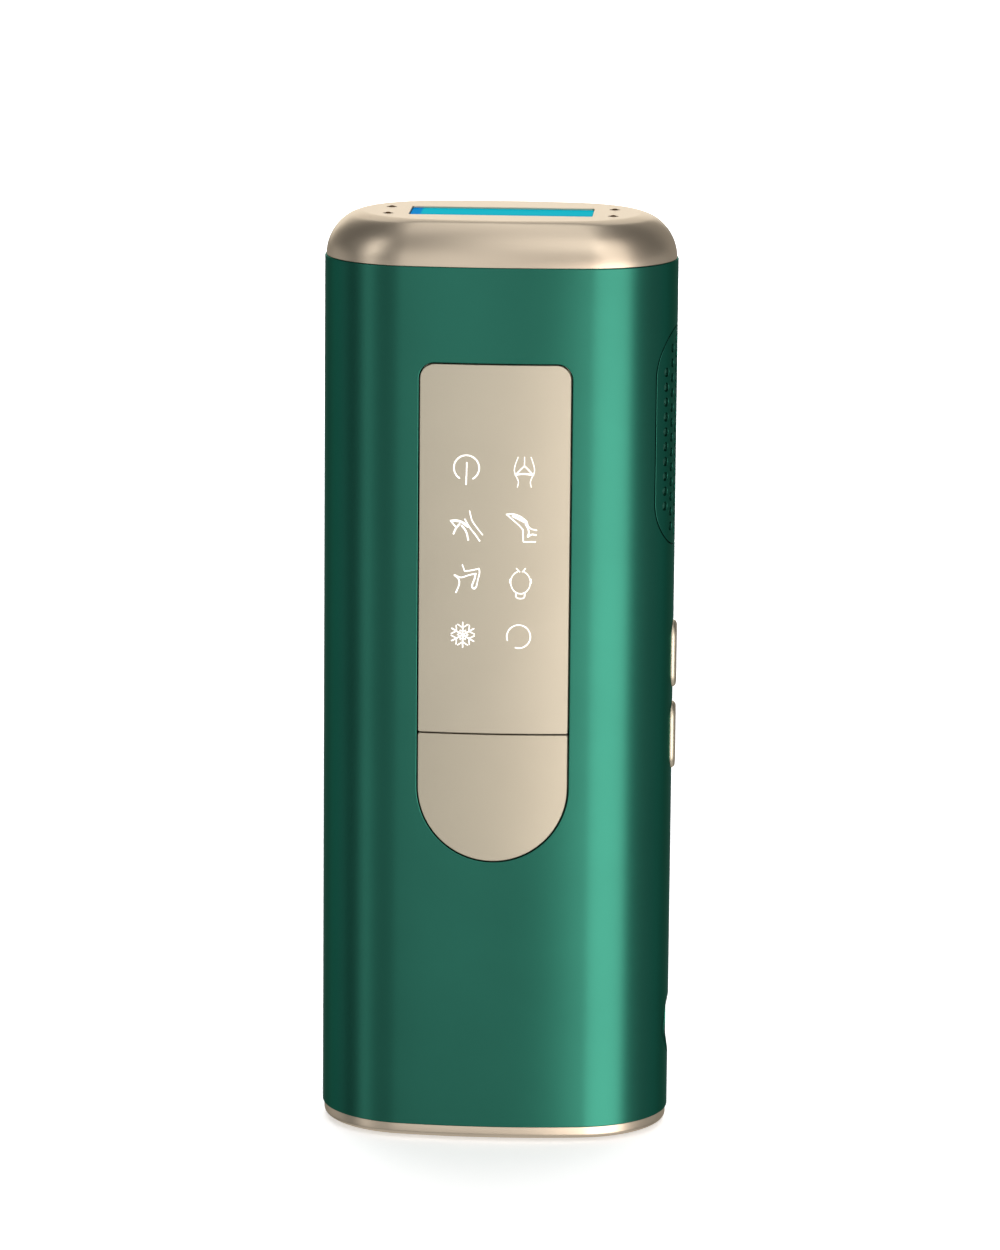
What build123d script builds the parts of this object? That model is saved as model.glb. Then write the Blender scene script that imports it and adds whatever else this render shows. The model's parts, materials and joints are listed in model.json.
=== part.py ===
from build123d import *
import os
from math import sqrt

os.makedirs("parts", exist_ok=True)

# IPL hair remover, standing upright on its base.
# Millimetres. +Z up, front faces -Y, air vent, side keys and power inlet are on +X.
# The origin is the middle of the footprint, on the surface that the feet rest on.

# ---------------------------------------------------------------- driving dimensions
body_width = 62.0
body_depth = 36.0
side_radius = 17.0           # round left and right sides of the body
wall = 2.2                   # sleeve wall
fit_gap = 0.1                # between a flange and the sleeve wall behind it
skin_gap = 0.2               # visible gap round each panel, button and key

foot_height = 0.6
sleeve_bottom = 2.8
sleeve_top = 156.0
head_height = 7.8
head_top = sleeve_top + head_height

panel_width = 26.3
panel_top = 139.2
panel_corner = 2.6
split_height = 73.7          # gap between the control panel and the flash button
button_bottom = 51.2
button_height = 62.4         # centre of the flash switch
panel_back = -13.6
button_back = -13.85
flange_reach = 1.9           # how far panel flanges reach past the opening

icon_rows = (120.8, 110.9, 101.2, 91.6)
icon_column = 4.9

vent_height = 125.0
vent_width = 20.0
vent_length = 38.6
vent_corner = 8.3
vent_hole = 1.6
vent_column_step = 2.43
vent_pitch = 2.63
vent_columns = (10, 13, 14, 13, 14, 13, 10)

key_heights = {"upper": 85.5, "lower": 70.8}
key_length = 12.1
key_width = 5.6
key_proud = 0.6

inlet_height = 18.0
inlet_mouth = 29.5           # flat floor of the inlet recess, along X
plug_radius = 3.1            # flared mouth of the socket
barrel_radius = 2.8          # bore behind it
inlet_pin_radius = 1.05

window_width = 32.0
window_depth = 11.6
window_y = -0.8
window_recess = 0.3
lip_underside = head_top - 1.6
sensor_x = 19.6
sensor_step = 4.6
lamp_height = 151.2

screw_x = 19.0
screw_y = 7.5
head_screw_x = 24.0

board_back = 12.6
board_front = 11.0
key_board_front = -11.6
key_board_back = -10.4

fan_x = 13.0
fan_size = 20.0
fan_depth = 8.0

# ---------------------------------------------------------------- derived sizes
side_centre = body_width / 2 - side_radius
inner_gap = wall + fit_gap


# ---------------------------------------------------------------- shared outlines
def oval(width, depth, end_radius):
    """Four tangent arcs: round ends joined by shallow front and back faces."""
    half_width = width / 2
    half_depth = depth / 2
    end_centre = half_width - end_radius
    broad_radius = (end_centre**2 + half_depth**2 - end_radius**2) / (2 * (half_depth - end_radius))
    reach = end_radius / (broad_radius - end_radius)
    join_x = end_centre * (1 + reach)
    join_y = (broad_radius - half_depth) * reach
    with BuildSketch() as outline:
        with BuildLine():
            ThreePointArc((-join_x, -join_y), (0, -half_depth), (join_x, -join_y))
            ThreePointArc((join_x, -join_y), (half_width, 0), (join_x, join_y))
            ThreePointArc((join_x, join_y), (0, half_depth), (-join_x, join_y))
            ThreePointArc((-join_x, join_y), (-half_width, 0), (-join_x, -join_y))
        make_face()
    return outline.sketch


def body_section(inset=0.0):
    """The body's cross-section, inset all round."""
    return oval(body_width - 2 * inset, body_depth - 2 * inset, side_radius - inset)


def tongue(width, bottom, top):
    """A rectangle whose lower end is a half circle, in a vertical sketch plane."""
    radius = width / 2
    with BuildSketch() as outline:
        with BuildLine():
            Polyline((-radius, bottom + radius), (-radius, top), (radius, top), (radius, bottom + radius))
            ThreePointArc((radius, bottom + radius), (0, bottom), (-radius, bottom + radius))
        make_face()
    return outline.sketch


def upright_rectangle(width, low, high):
    """A rectangle between two heights, in a vertical sketch plane."""
    with Locations((0, (low + high) / 2)):
        Rectangle(width, high - low)


def save(builder, name):
    """Label a finished piece and write it."""
    builder.part.label = name
    export_step(builder.part, f"parts/{name}.step")


# ---------------------------------------------------------------- construction forms
with BuildPart() as outer_form:
    with BuildSketch(Plane.XY.offset(sleeve_bottom)):
        add(body_section())
    extrude(amount=sleeve_top - sleeve_bottom)

with BuildPart() as inner_form:
    with BuildSketch(Plane.XY.offset(sleeve_bottom)):
        add(body_section(inner_gap))
    extrude(amount=sleeve_top - sleeve_bottom)

# ---------------------------------------------------------------- sleeve
with BuildPart() as sleeve:
    with BuildSketch(Plane.XY.offset(sleeve_bottom)):
        add(body_section())
    extrude(amount=sleeve_top - sleeve_bottom)
    rims = edges().group_by(Axis.Z)[0] + edges().group_by(Axis.Z)[-1]
    chamfer(rims, 0.25)
    with BuildSketch(Plane.XY.offset(sleeve_bottom)):
        add(body_section(wall))
    extrude(amount=sleeve_top - sleeve_bottom, mode=Mode.SUBTRACT)
    # tongue-shaped opening for the control panel and the flash button
    opening_width = panel_width + 2 * skin_gap
    with BuildSketch(Plane.XZ.offset(body_depth / 2 - 6)):
        add(tongue(opening_width, button_bottom - skin_gap, panel_top + skin_gap))
        fillet(vertices().group_by(Axis.Y)[-1], panel_corner + skin_gap)
    extrude(amount=8, mode=Mode.SUBTRACT)
    # vent and side key openings
    with BuildSketch(Plane.YZ.offset(side_centre + 6)):
        with Locations((0, vent_height)):
            RectangleRounded(vent_width + 2 * skin_gap, vent_length + 2 * skin_gap, vent_corner + skin_gap)
        for height in key_heights.values():
            with Locations((0, height)):
                SlotOverall(key_length + 2 * skin_gap, key_width + 2 * skin_gap, rotation=90)
    extrude(amount=14, mode=Mode.SUBTRACT)
    # dished recess of the power inlet, with the hole for the socket's nose
    with BuildSketch(Plane.XZ):
        with BuildLine():
            Polyline(
                (inlet_mouth, inlet_height),
                (inlet_mouth, inlet_height + 4.4),
                (body_width / 2 + 0.6, inlet_height + 5.7),
                (body_width / 2 + 0.6, inlet_height),
                close=True,
            )
        make_face()
    inlet_axis = Axis((0, 0, inlet_height), (1, 0, 0))
    revolve(axis=inlet_axis, mode=Mode.SUBTRACT)
    with BuildSketch(Plane.YZ.offset(side_centre + 6)):
        with Locations((0, inlet_height)):
            Circle(3.8)
    extrude(amount=14, mode=Mode.SUBTRACT)
save(sleeve, "sleeve")

# ---------------------------------------------------------------- base cover
with BuildPart() as base_cover:
    with BuildSketch(Plane.XY.offset(foot_height)):
        add(body_section(0.3))
    extrude(amount=sleeve_bottom - foot_height)
    fillet(edges().group_by(Axis.Z)[0], 0.9)
    with BuildSketch(Plane.XY.offset(sleeve_bottom)):
        add(body_section(wall + 0.15))
    extrude(amount=4.0)
    with BuildSketch(Plane.XY.offset(2.4)):
        add(body_section(4.0))
    extrude(amount=6.0, mode=Mode.SUBTRACT)
    with BuildSketch(Plane.XY.offset(2.4)):
        with GridLocations(2 * screw_x, 2 * screw_y, 2, 2):
            Circle(3.7)
    extrude(amount=2.0)
    # screw holes, then counterbores for the heads, then pockets for the feet
    for depth, radius in ((4.0, 1.35), (2.3, 2.4), (0.8, 3.6)):
        with BuildSketch(Plane.XY.offset(foot_height)):
            with GridLocations(2 * screw_x, 2 * screw_y, 2, 2):
                Circle(radius)
        extrude(amount=depth, mode=Mode.SUBTRACT)
    # air intake slots
    with BuildSketch(Plane.XY.offset(foot_height)):
        with GridLocations(3.4, 0, 9, 1):
            SlotOverall(14, 1.8, rotation=90)
    extrude(amount=2.4, mode=Mode.SUBTRACT)
save(base_cover, "base_cover")

with BuildPart() as rubber_feet:
    with BuildSketch(Plane.XY):
        with GridLocations(2 * screw_x, 2 * screw_y, 2, 2):
            Circle(3.5)
    extrude(amount=foot_height + 0.8)
    chamfer(edges().group_by(Axis.Z)[0], 0.2)
save(rubber_feet, "rubber_feet")

with BuildPart() as base_screws:
    for low, high, radius in ((1.7, 2.9, 2.2), (2.9, 9.4, 1.2)):
        with BuildSketch(Plane.XY.offset(low)):
            with GridLocations(2 * screw_x, 2 * screw_y, 2, 2):
                Circle(radius)
        extrude(amount=high - low)
    with BuildSketch(Plane.XY.offset(1.7)):
        with GridLocations(2 * screw_x, 2 * screw_y, 2, 2):
            Rectangle(2.6, 0.6)
            Rectangle(0.6, 2.6)
    extrude(amount=0.7, mode=Mode.SUBTRACT)
save(base_screws, "base_screws")

# ---------------------------------------------------------------- treatment head
head_seat_width = body_width - 0.5
head_seat_depth = body_depth - 0.5
side_inset = 5.8             # how far the head narrows at each side, up to its flat top
face_inset = 2.7             # and at the front and back


def domed_inset(inset, height):
    """How far a wall that starts vertical and curves in has moved at a height."""
    radius = (head_height**2 + inset**2) / (2 * inset)
    return radius - sqrt(radius**2 - height**2)


def head_section(height, thickness=0.0):
    """The head's cross-section at a height above the seam."""
    width = head_seat_width - 2 * domed_inset(side_inset, height) - 2 * thickness
    depth = head_seat_depth - 2 * domed_inset(face_inset, height) - 2 * thickness
    return oval(width, depth, depth / 2 - 0.9)


with BuildPart() as treatment_head:
    for height in (0.0, 2.0, 4.0, 5.6, 6.8, head_height):
        with BuildSketch(Plane.XY.offset(sleeve_top + height)):
            add(head_section(height))
    loft()
    fillet(edges().group_by(Axis.Z)[-1], 0.6)
    for height in (0.0, 2.0, 4.0, lip_underside - sleeve_top):
        with BuildSketch(Plane.XY.offset(sleeve_top + height)):
            add(head_section(height, 2.4))
    loft(mode=Mode.SUBTRACT)
    # skirt that plugs into the sleeve, overlapping the head's own wall above the seam
    with BuildSketch(Plane.XY.offset(sleeve_top - 5)):
        add(body_section(wall + 0.15))
        add(body_section(3.85), mode=Mode.SUBTRACT)
    extrude(amount=5.6)
    # screw bosses for the lamp carrier
    with BuildSketch(Plane.XY.offset(152)):
        with GridLocations(2 * head_screw_x, 0, 2, 1):
            Circle(2.4)
    extrude(amount=lip_underside - 152)
    with BuildSketch(Plane.XY.offset(152)):
        with GridLocations(2 * head_screw_x, 0, 2, 1):
            Circle(1.0)
    extrude(amount=8.5, mode=Mode.SUBTRACT)
    # window opening and holes for the skin sensor pins
    with BuildSketch(Plane.XY.offset(lip_underside)):
        with Locations((0, window_y)):
            RectangleRounded(window_width, window_depth, 0.6)
            with GridLocations(2 * sensor_x, 2 * sensor_step, 2, 2):
                Circle(0.9)
    extrude(amount=3, mode=Mode.SUBTRACT)
save(treatment_head, "treatment_head")

with BuildPart() as sapphire_window:
    with BuildSketch(Plane.XY.offset(lip_underside - 1.2)):
        with Locations((0, window_y)):
            RectangleRounded(window_width + 3, window_depth + 3.4, 1.0)
    extrude(amount=1.2)
    with BuildSketch(Plane.XY.offset(lip_underside)):
        with Locations((0, window_y)):
            RectangleRounded(window_width - 0.2, window_depth - 0.2, 0.5)
    extrude(amount=head_top - window_recess - lip_underside)
save(sapphire_window, "sapphire_window")

gasket_top = lip_underside - 1.2
cold_frame_top = gasket_top - 0.6
cold_frame_bottom = cold_frame_top - 3.0
with BuildPart() as window_gasket:
    with BuildSketch(Plane.XY.offset(cold_frame_top)):
        with Locations((0, window_y)):
            RectangleRounded(window_width + 3, window_depth + 3.4, 1.0)
            RectangleRounded(window_width - 0.6, window_depth - 0.2, 0.6, mode=Mode.SUBTRACT)
    extrude(amount=gasket_top - cold_frame_top)
save(window_gasket, "window_gasket")

# copper frame round the light path, with a leg down to the cooling module
leg_back = 9.0
cooler_bottom = 137.0
with BuildPart() as cold_frame:
    with BuildSketch(Plane.XY.offset(cold_frame_bottom)):
        with Locations((0, 0.1)):
            RectangleRounded(36, 2 * leg_back - 0.2, 1.5)
    extrude(amount=3.0)
    with BuildSketch(Plane.XY.offset(cold_frame_bottom + 0.5)):
        with Locations((0, window_y)):
            RectangleRounded(31.2, 11.0, 0.6)
    extrude(amount=3.0, mode=Mode.SUBTRACT)
    with BuildSketch(Plane.XY.offset(cold_frame_bottom)):
        with Locations((0, window_y)):
            RectangleRounded(29.2, 9.0, 0.6)
    extrude(amount=1.0, mode=Mode.SUBTRACT)
    with BuildSketch(Plane.XY.offset(cooler_bottom)):
        with Locations((0, leg_back - 0.8)):
            Rectangle(24, 1.6)
    extrude(amount=cold_frame_bottom - cooler_bottom)
save(cold_frame, "cold_frame")

with BuildPart() as filter_glass:
    with BuildSketch(Plane.XY.offset(cold_frame_bottom + 0.5)):
        with Locations((0, window_y)):
            RectangleRounded(31.0, 10.8, 0.5)
    extrude(amount=1.1)
save(filter_glass, "filter_glass")

# ---------------------------------------------------------------- lamp
reflector_half = 15.6
with BuildPart() as lamp_reflector:
    for radius, mouth, mode in ((4.9, 5.5, Mode.ADD), (4.2, 4.8, Mode.SUBTRACT)):
        with BuildSketch(Plane.YZ.offset(-reflector_half)):
            with Locations((window_y, lamp_height)):
                Circle(radius)
            with BuildLine():
                Polyline(
                    (window_y - radius, lamp_height),
                    (window_y + radius, lamp_height),
                    (window_y + mouth, cold_frame_bottom),
                    (window_y - mouth, cold_frame_bottom),
                    close=True,
                )
            make_face()
        extrude(amount=2 * reflector_half, mode=mode)
save(lamp_reflector, "lamp_reflector")

lamp_half = 19.0
with BuildPart(Plane.YZ.offset(-lamp_half)) as flash_lamp:
    with Locations((window_y, lamp_height)):
        Cylinder(2.8, 2 * lamp_half, align=(Align.CENTER, Align.CENTER, Align.MIN))
    fillet(edges().filter_by(GeomType.CIRCLE), 0.8)
    with Locations((window_y, lamp_height, 1.5)):
        Cylinder(2.0, 2 * lamp_half - 3, align=(Align.CENTER, Align.CENTER, Align.MIN), mode=Mode.SUBTRACT)
save(flash_lamp, "flash_lamp")

with BuildPart() as lamp_electrodes:
    for start, length in ((-lamp_half - 2.2, 2.2), (lamp_half, 2.2)):
        with BuildSketch(Plane.YZ.offset(start)):
            with Locations((window_y, lamp_height)):
                Circle(0.8)
        extrude(amount=length)
save(lamp_electrodes, "lamp_electrodes")

carrier_top = 145.5
for name, start in (("lamp_holder_left", -18.8), ("lamp_holder_right", 15.8)):
    with BuildPart() as lamp_holder:
        with BuildSketch(Plane.YZ.offset(start)):
            with Locations((window_y, (carrier_top + 156.5) / 2)):
                RectangleRounded(11, 156.5 - carrier_top, 1.5)
            with Locations((window_y, lamp_height)):
                Circle(3.0, mode=Mode.SUBTRACT)
        extrude(amount=3)
    save(lamp_holder, name)

with BuildPart() as lamp_carrier:
    with BuildSketch(Plane.XY.offset(143.6)):
        with Locations((0, -0.9)):
            RectangleRounded(53, 15, 4)
    extrude(amount=carrier_top - 143.6)
    with BuildSketch(Plane.XY.offset(carrier_top)):
        with GridLocations(2 * head_screw_x, 0, 2, 1):
            Circle(2.4)
    extrude(amount=152 - carrier_top)
    with BuildSketch(Plane.XY.offset(143.6)):
        with GridLocations(2 * head_screw_x, 0, 2, 1):
            Circle(1.1)
        with Locations((0, window_y)):
            RectangleRounded(26, 6, 1)
    extrude(amount=10, mode=Mode.SUBTRACT)
save(lamp_carrier, "lamp_carrier")

with BuildPart() as head_screws:
    for low, high, radius in ((142.3, 143.6, 2.0), (143.6, 159.0, 0.9)):
        with BuildSketch(Plane.XY.offset(low)):
            with GridLocations(2 * head_screw_x, 0, 2, 1):
                Circle(radius)
        extrude(amount=high - low)
save(head_screws, "head_screws")

# ---------------------------------------------------------------- skin sensors
sensor_board_top = 159.2
with BuildPart() as skin_sensor_pins:
    with BuildSketch(Plane.XY.offset(sensor_board_top)):
        with Locations((0, window_y)):
            with GridLocations(2 * sensor_x, 2 * sensor_step, 2, 2):
                Circle(0.75)
    extrude(amount=head_top + 0.2 - sensor_board_top)
    fillet(edges().group_by(Axis.Z)[-1], 0.35)
save(skin_sensor_pins, "skin_sensor_pins")

with BuildPart() as sensor_boards:
    with BuildSketch(Plane.XY.offset(sensor_board_top - 0.8)):
        with Locations((0, window_y)):
            with GridLocations(2 * sensor_x, 0, 2, 1):
                Rectangle(2.8, 13)
    extrude(amount=0.8)
save(sensor_boards, "sensor_boards")

# ---------------------------------------------------------------- cooling
cooler_top = 150.8
with BuildPart() as peltier_module:
    with BuildSketch(Plane.XY.offset(cooler_bottom)):
        with Locations((0, leg_back + 1.5)):
            Rectangle(24, 3)
    extrude(amount=13)
save(peltier_module, "peltier_module")

sink_left = -15.0
sink_right = 12.0
sink_front = leg_back + 3
with BuildPart() as heat_sink:
    with BuildSketch(Plane.XY.offset(107)):
        with Locations(((sink_left + sink_right) / 2, sink_front + 1)):
            Rectangle(sink_right - sink_left, 2)
    extrude(amount=cooler_top - 107)
    for fin in range(11):
        with BuildSketch(Plane.XY.offset(108.6 + 2.6 * fin)):
            with Locations(((sink_left + sink_right) / 2, sink_front - 5)):
                Rectangle(sink_right - sink_left, 10)
        extrude(amount=0.8)
save(heat_sink, "heat_sink")

fan_back = fan_x + fan_depth
with BuildPart() as fan_frame:
    with BuildSketch(Plane.YZ.offset(fan_x)):
        with Locations((0, vent_height)):
            RectangleRounded(fan_size, fan_size, 1.5)
    extrude(amount=fan_depth)
    with BuildSketch(Plane.YZ.offset(fan_x)):
        with Locations((0, vent_height)):
            Circle(9.4)
    extrude(amount=fan_depth, mode=Mode.SUBTRACT)
    # motor boss on four spokes, with the bearing hole
    with BuildSketch(Plane.YZ.offset(fan_x)):
        with Locations((0, vent_height)):
            Rectangle(19.2, 1.4)
            Rectangle(1.4, 19.2)
            Circle(4.2)
            Circle(0.9, mode=Mode.SUBTRACT)
    extrude(amount=1.4)
save(fan_frame, "fan_frame")

with BuildPart(Plane.YZ.offset(fan_x + 4.6)) as fan_impeller:
    with Locations((0, vent_height)):
        Cylinder(3.9, 5.4)
        with PolarLocations(6.15, 7):
            Box(4.9, 0.8, 5.0, rotation=(35, 0, 0))
    with Locations((0, vent_height, -3.4)):
        Cylinder(0.75, 2.0)
save(fan_impeller, "fan_impeller")

with BuildPart() as fan_duct:
    with BuildSketch(Plane.YZ.offset(fan_back)):
        with Locations((0, vent_height)):
            RectangleRounded(15.6, 20, 1.5)
            RectangleRounded(14.0, 18.4, 1.0, mode=Mode.SUBTRACT)
    extrude(amount=4)
save(fan_duct, "fan_duct")

# perforated insert, flush with the side of the sleeve, with a flange behind the wall
with BuildPart() as vent_flange:
    with BuildSketch(Plane.YZ.offset(side_centre)):
        with Locations((0, vent_height)):
            RectangleRounded(vent_width + 3, vent_length + 3, vent_corner + 1.5)
    extrude(amount=20)
    add(inner_form.part, mode=Mode.INTERSECT)

with BuildPart() as vent_grille:
    with BuildSketch(Plane.YZ.offset(side_centre)):
        with Locations((0, vent_height)):
            RectangleRounded(vent_width, vent_length, vent_corner)
    extrude(amount=20)
    add(outer_form.part, mode=Mode.INTERSECT)
    add(vent_flange.part)
    with BuildSketch(Plane.XY.offset(vent_height - 25)):
        add(body_section(inner_gap + 1.0))
    extrude(amount=50, mode=Mode.SUBTRACT)
    with BuildSketch(Plane.YZ.offset(side_centre)):
        for column, count in enumerate(vent_columns):
            with Locations(((column - 3) * vent_column_step, vent_height)):
                with GridLocations(0, vent_pitch, 1, count):
                    Circle(vent_hole / 2)
    extrude(amount=20, mode=Mode.SUBTRACT)
save(vent_grille, "vent_grille")

# ---------------------------------------------------------------- control panel
flange_width = panel_width + 2 * flange_reach
with BuildPart() as panel_flange:
    with BuildSketch(Plane.XZ.offset(-panel_back)):
        upright_rectangle(flange_width, split_height + 0.4, panel_top + flange_reach)
        fillet(vertices(), panel_corner)
    extrude(amount=6)
    add(inner_form.part, mode=Mode.INTERSECT)

boss_x = 10.5
boss_heights = (80.0, 132.0)
with BuildPart() as control_panel:
    with BuildSketch(Plane.XZ.offset(-panel_back)):
        upright_rectangle(panel_width, split_height + skin_gap / 2, panel_top)
        fillet(vertices().group_by(Axis.Y)[-1], panel_corner)
    extrude(amount=6)
    add(outer_form.part, mode=Mode.INTERSECT)
    add(panel_flange.part)
    with BuildSketch(Plane.XZ.offset(-key_board_front)):
        for height in boss_heights:
            with Locations((-boss_x, height), (boss_x, height)):
                Circle(1.9)
    extrude(amount=key_board_front - panel_back)
    with BuildSketch(Plane.XZ.offset(-key_board_front)):
        for height in boss_heights:
            with Locations((-boss_x, height), (boss_x, height)):
                Circle(0.8)
    extrude(amount=3.2, mode=Mode.SUBTRACT)
save(control_panel, "control_panel")

guide_width = 16.4
guide_bottom = 86.0
guide_top = 126.5
with BuildPart() as icon_diffuser:
    with BuildSketch(Plane.XZ.offset(-panel_back - 0.3)):
        upright_rectangle(guide_width, guide_bottom, guide_top)
    extrude(amount=0.3)
save(icon_diffuser, "icon_diffuser")

icon_spots = [(side * icon_column, row) for row in icon_rows for side in (-1, 1)]
with BuildPart() as light_guide:
    with BuildSketch(Plane.XZ.offset(-key_board_front)):
        upright_rectangle(guide_width, guide_bottom, guide_top)
        with Locations(*icon_spots):
            Circle(2.8, mode=Mode.SUBTRACT)
    extrude(amount=key_board_front - panel_back - 0.3)
save(light_guide, "light_guide")

with BuildPart() as icon_leds:
    with BuildSketch(Plane.XZ.offset(-key_board_front)):
        with Locations(*icon_spots):
            Rectangle(2.0, 1.25)
    extrude(amount=0.7)
save(icon_leds, "icon_leds")

with BuildPart() as key_board:
    with BuildSketch(Plane.XZ.offset(-key_board_back)):
        upright_rectangle(25, 54, 136)
        for height in boss_heights:
            with Locations((-boss_x, height), (boss_x, height)):
                Circle(0.9, mode=Mode.SUBTRACT)
    extrude(amount=key_board_back - key_board_front)
save(key_board, "key_board")

with BuildPart() as key_board_screws:
    for front, back, radius in ((key_board_front - 2.6, key_board_back, 0.7), (key_board_back, -9.3, 1.6)):
        with BuildSketch(Plane.XZ.offset(-back)):
            for height in boss_heights:
                with Locations((-boss_x, height), (boss_x, height)):
                    Circle(radius)
        extrude(amount=back - front)
save(key_board_screws, "key_board_screws")

# ---------------------------------------------------------------- flash button
with BuildPart() as button_flange:
    with BuildSketch(Plane.XZ.offset(-button_back)):
        add(tongue(flange_width, button_bottom - flange_reach, split_height - 0.4))
    extrude(amount=6)
    add(inner_form.part, mode=Mode.INTERSECT)

with BuildPart() as flash_button:
    with BuildSketch(Plane.XZ.offset(-button_back)):
        add(tongue(panel_width, button_bottom, split_height - skin_gap / 2))
    extrude(amount=6)
    add(outer_form.part, mode=Mode.INTERSECT)
    add(button_flange.part)
save(flash_button, "flash_button")

with BuildPart() as flash_switch:
    with BuildSketch(Plane.XZ.offset(-key_board_front)):
        with Locations((0, button_height)):
            RectangleRounded(5.2, 5.2, 0.6)
            Circle(1.6, mode=Mode.SUBTRACT)
    extrude(amount=1.4)
save(flash_switch, "flash_switch")

with BuildPart() as flash_switch_plunger:
    with BuildSketch(Plane.XZ.offset(-key_board_front + 0.8)):
        with Locations((0, button_height)):
            Circle(1.4)
    extrude(amount=key_board_front - 0.8 - button_back)
save(flash_switch_plunger, "flash_switch_plunger")

# ---------------------------------------------------------------- side keys
key_flange_back = 27.2
side_board_front = 24.2
for name, height in key_heights.items():
    with BuildPart() as side_key:
        with BuildSketch(Plane.YZ.offset(key_flange_back)):
            with Locations((0, height)):
                SlotOverall(key_length + 2, key_width + 2, rotation=90)
        extrude(amount=1.0)
        with BuildSketch(Plane.YZ.offset(key_flange_back)):
            with Locations((0, height)):
                SlotOverall(key_length, key_width, rotation=90)
        extrude(amount=body_width / 2 + key_proud - key_flange_back)
        fillet(edges().group_by(Axis.X)[-1], 0.8)
    save(side_key, f"side_key_{name}")

    with BuildPart() as side_plunger:
        with BuildSketch(Plane.YZ.offset(side_board_front + 1.2)):
            with Locations((0, height)):
                Circle(1.0)
        extrude(amount=key_flange_back - side_board_front - 1.2)
    save(side_plunger, f"side_plunger_{name}")

    with BuildPart() as side_switch:
        with BuildSketch(Plane.YZ.offset(side_board_front)):
            with Locations((0, height)):
                RectangleRounded(4.6, 4.6, 0.5)
                Circle(1.2, mode=Mode.SUBTRACT)
        extrude(amount=2.2)
    save(side_switch, f"side_switch_{name}")

with BuildPart() as side_key_board:
    with BuildSketch(Plane.YZ.offset(side_board_front - 1.2)):
        upright_rectangle(13, 62, 94)
    extrude(amount=1.2)
save(side_key_board, "side_key_board")

rib_outside = 15.5
with BuildPart() as side_board_bracket:
    with BuildSketch(Plane.XY.offset(64)):
        with BuildLine():
            Polyline(
                (side_board_front - 1.2, -6.0),
                (side_board_front - 1.2, 10.4),
                (rib_outside, 10.4),
                (rib_outside, 8.8),
                (side_board_front - 2.8, 8.8),
                (side_board_front - 2.8, -6.0),
                close=True,
            )
        make_face()
    extrude(amount=28)
save(side_board_bracket, "side_board_bracket")

# ---------------------------------------------------------------- chassis and main board
chassis_floor = 8.0
chassis_floor_top = 9.6
chassis_back_front = 13.0
board_screw_spots = [(x, z) for z in (20.0, 96.0) for x in (-10.5, 10.5)]
with BuildPart() as chassis:
    with BuildSketch(Plane.XY.offset(chassis_floor)):
        add(body_section(3.2))
        with Locations((9, 0)):
            RectangleRounded(20, 16, 3, mode=Mode.SUBTRACT)
    extrude(amount=chassis_floor_top - chassis_floor)
    with BuildSketch(Plane.XY.offset(4.4)):
        with GridLocations(2 * screw_x, 2 * screw_y, 2, 2):
            Circle(3.0)
    extrude(amount=chassis_floor_top - 4.4)
    with BuildSketch(Plane.XY.offset(4.4)):
        with GridLocations(2 * screw_x, 2 * screw_y, 2, 2):
            Circle(1.25)
    extrude(amount=6, mode=Mode.SUBTRACT)
    # back plate with two side ribs
    with BuildSketch(Plane.XY.offset(chassis_floor_top)):
        with Locations((0, chassis_back_front + 0.5)):
            Rectangle(2 * rib_outside, 1.0)
        with Locations((rib_outside - 0.75, 11.0), (0.75 - rib_outside, 11.0)):
            Rectangle(1.5, 4.0)
    extrude(amount=105 - chassis_floor_top)
    # standoffs for the main board, then their pilot holes
    with BuildSketch(Plane.XZ.offset(-chassis_back_front)):
        with Locations(*board_screw_spots):
            Circle(2.5)
    extrude(amount=chassis_back_front - board_back)
    with BuildSketch(Plane.XZ.offset(-chassis_back_front - 1.0)):
        with Locations(*board_screw_spots):
            Circle(0.9)
    extrude(amount=2, mode=Mode.SUBTRACT)
    # lightening windows in the back plate
    with BuildSketch(Plane.XZ.offset(-chassis_back_front - 1.0)):
        for height in (40.0, 76.0):
            with Locations((0, height)):
                RectangleRounded(18, 26, 3)
    extrude(amount=1.5, mode=Mode.SUBTRACT)
    # posts under the power inlet's board
    with BuildSketch(Plane.XY.offset(chassis_floor_top)):
        with Locations((21.5, 4.2), (21.5, -4.2)):
            Circle(1.5)
    extrude(amount=1.6)
save(chassis, "chassis")

with BuildPart() as main_board:
    with BuildSketch(Plane.XZ.offset(-board_back)):
        upright_rectangle(27.6, 14, 102)
        with Locations(*board_screw_spots):
            Circle(1.1, mode=Mode.SUBTRACT)
    extrude(amount=board_back - board_front)
save(main_board, "main_board")

with BuildPart() as board_screws:
    for front, back, radius in ((board_front, chassis_back_front + 0.8, 0.85), (9.7, board_front, 1.9)):
        with BuildSketch(Plane.XZ.offset(-back)):
            with Locations(*board_screw_spots):
                Circle(radius)
        extrude(amount=back - front)
save(board_screws, "board_screws")

with BuildPart() as flash_capacitor:
    with BuildSketch(Plane.XY.offset(chassis_floor_top)):
        with Locations((-13.5, -2.0)):
            Circle(11.0)
    extrude(amount=39)
    fillet(edges().filter_by(GeomType.CIRCLE), 1.0)
    with BuildSketch(Plane.XY.offset(chassis_floor_top + 39)):
        with Locations((-13.5, -2.0)):
            Circle(8.5)
    extrude(amount=-0.5, mode=Mode.SUBTRACT)
save(flash_capacitor, "flash_capacitor")

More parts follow.
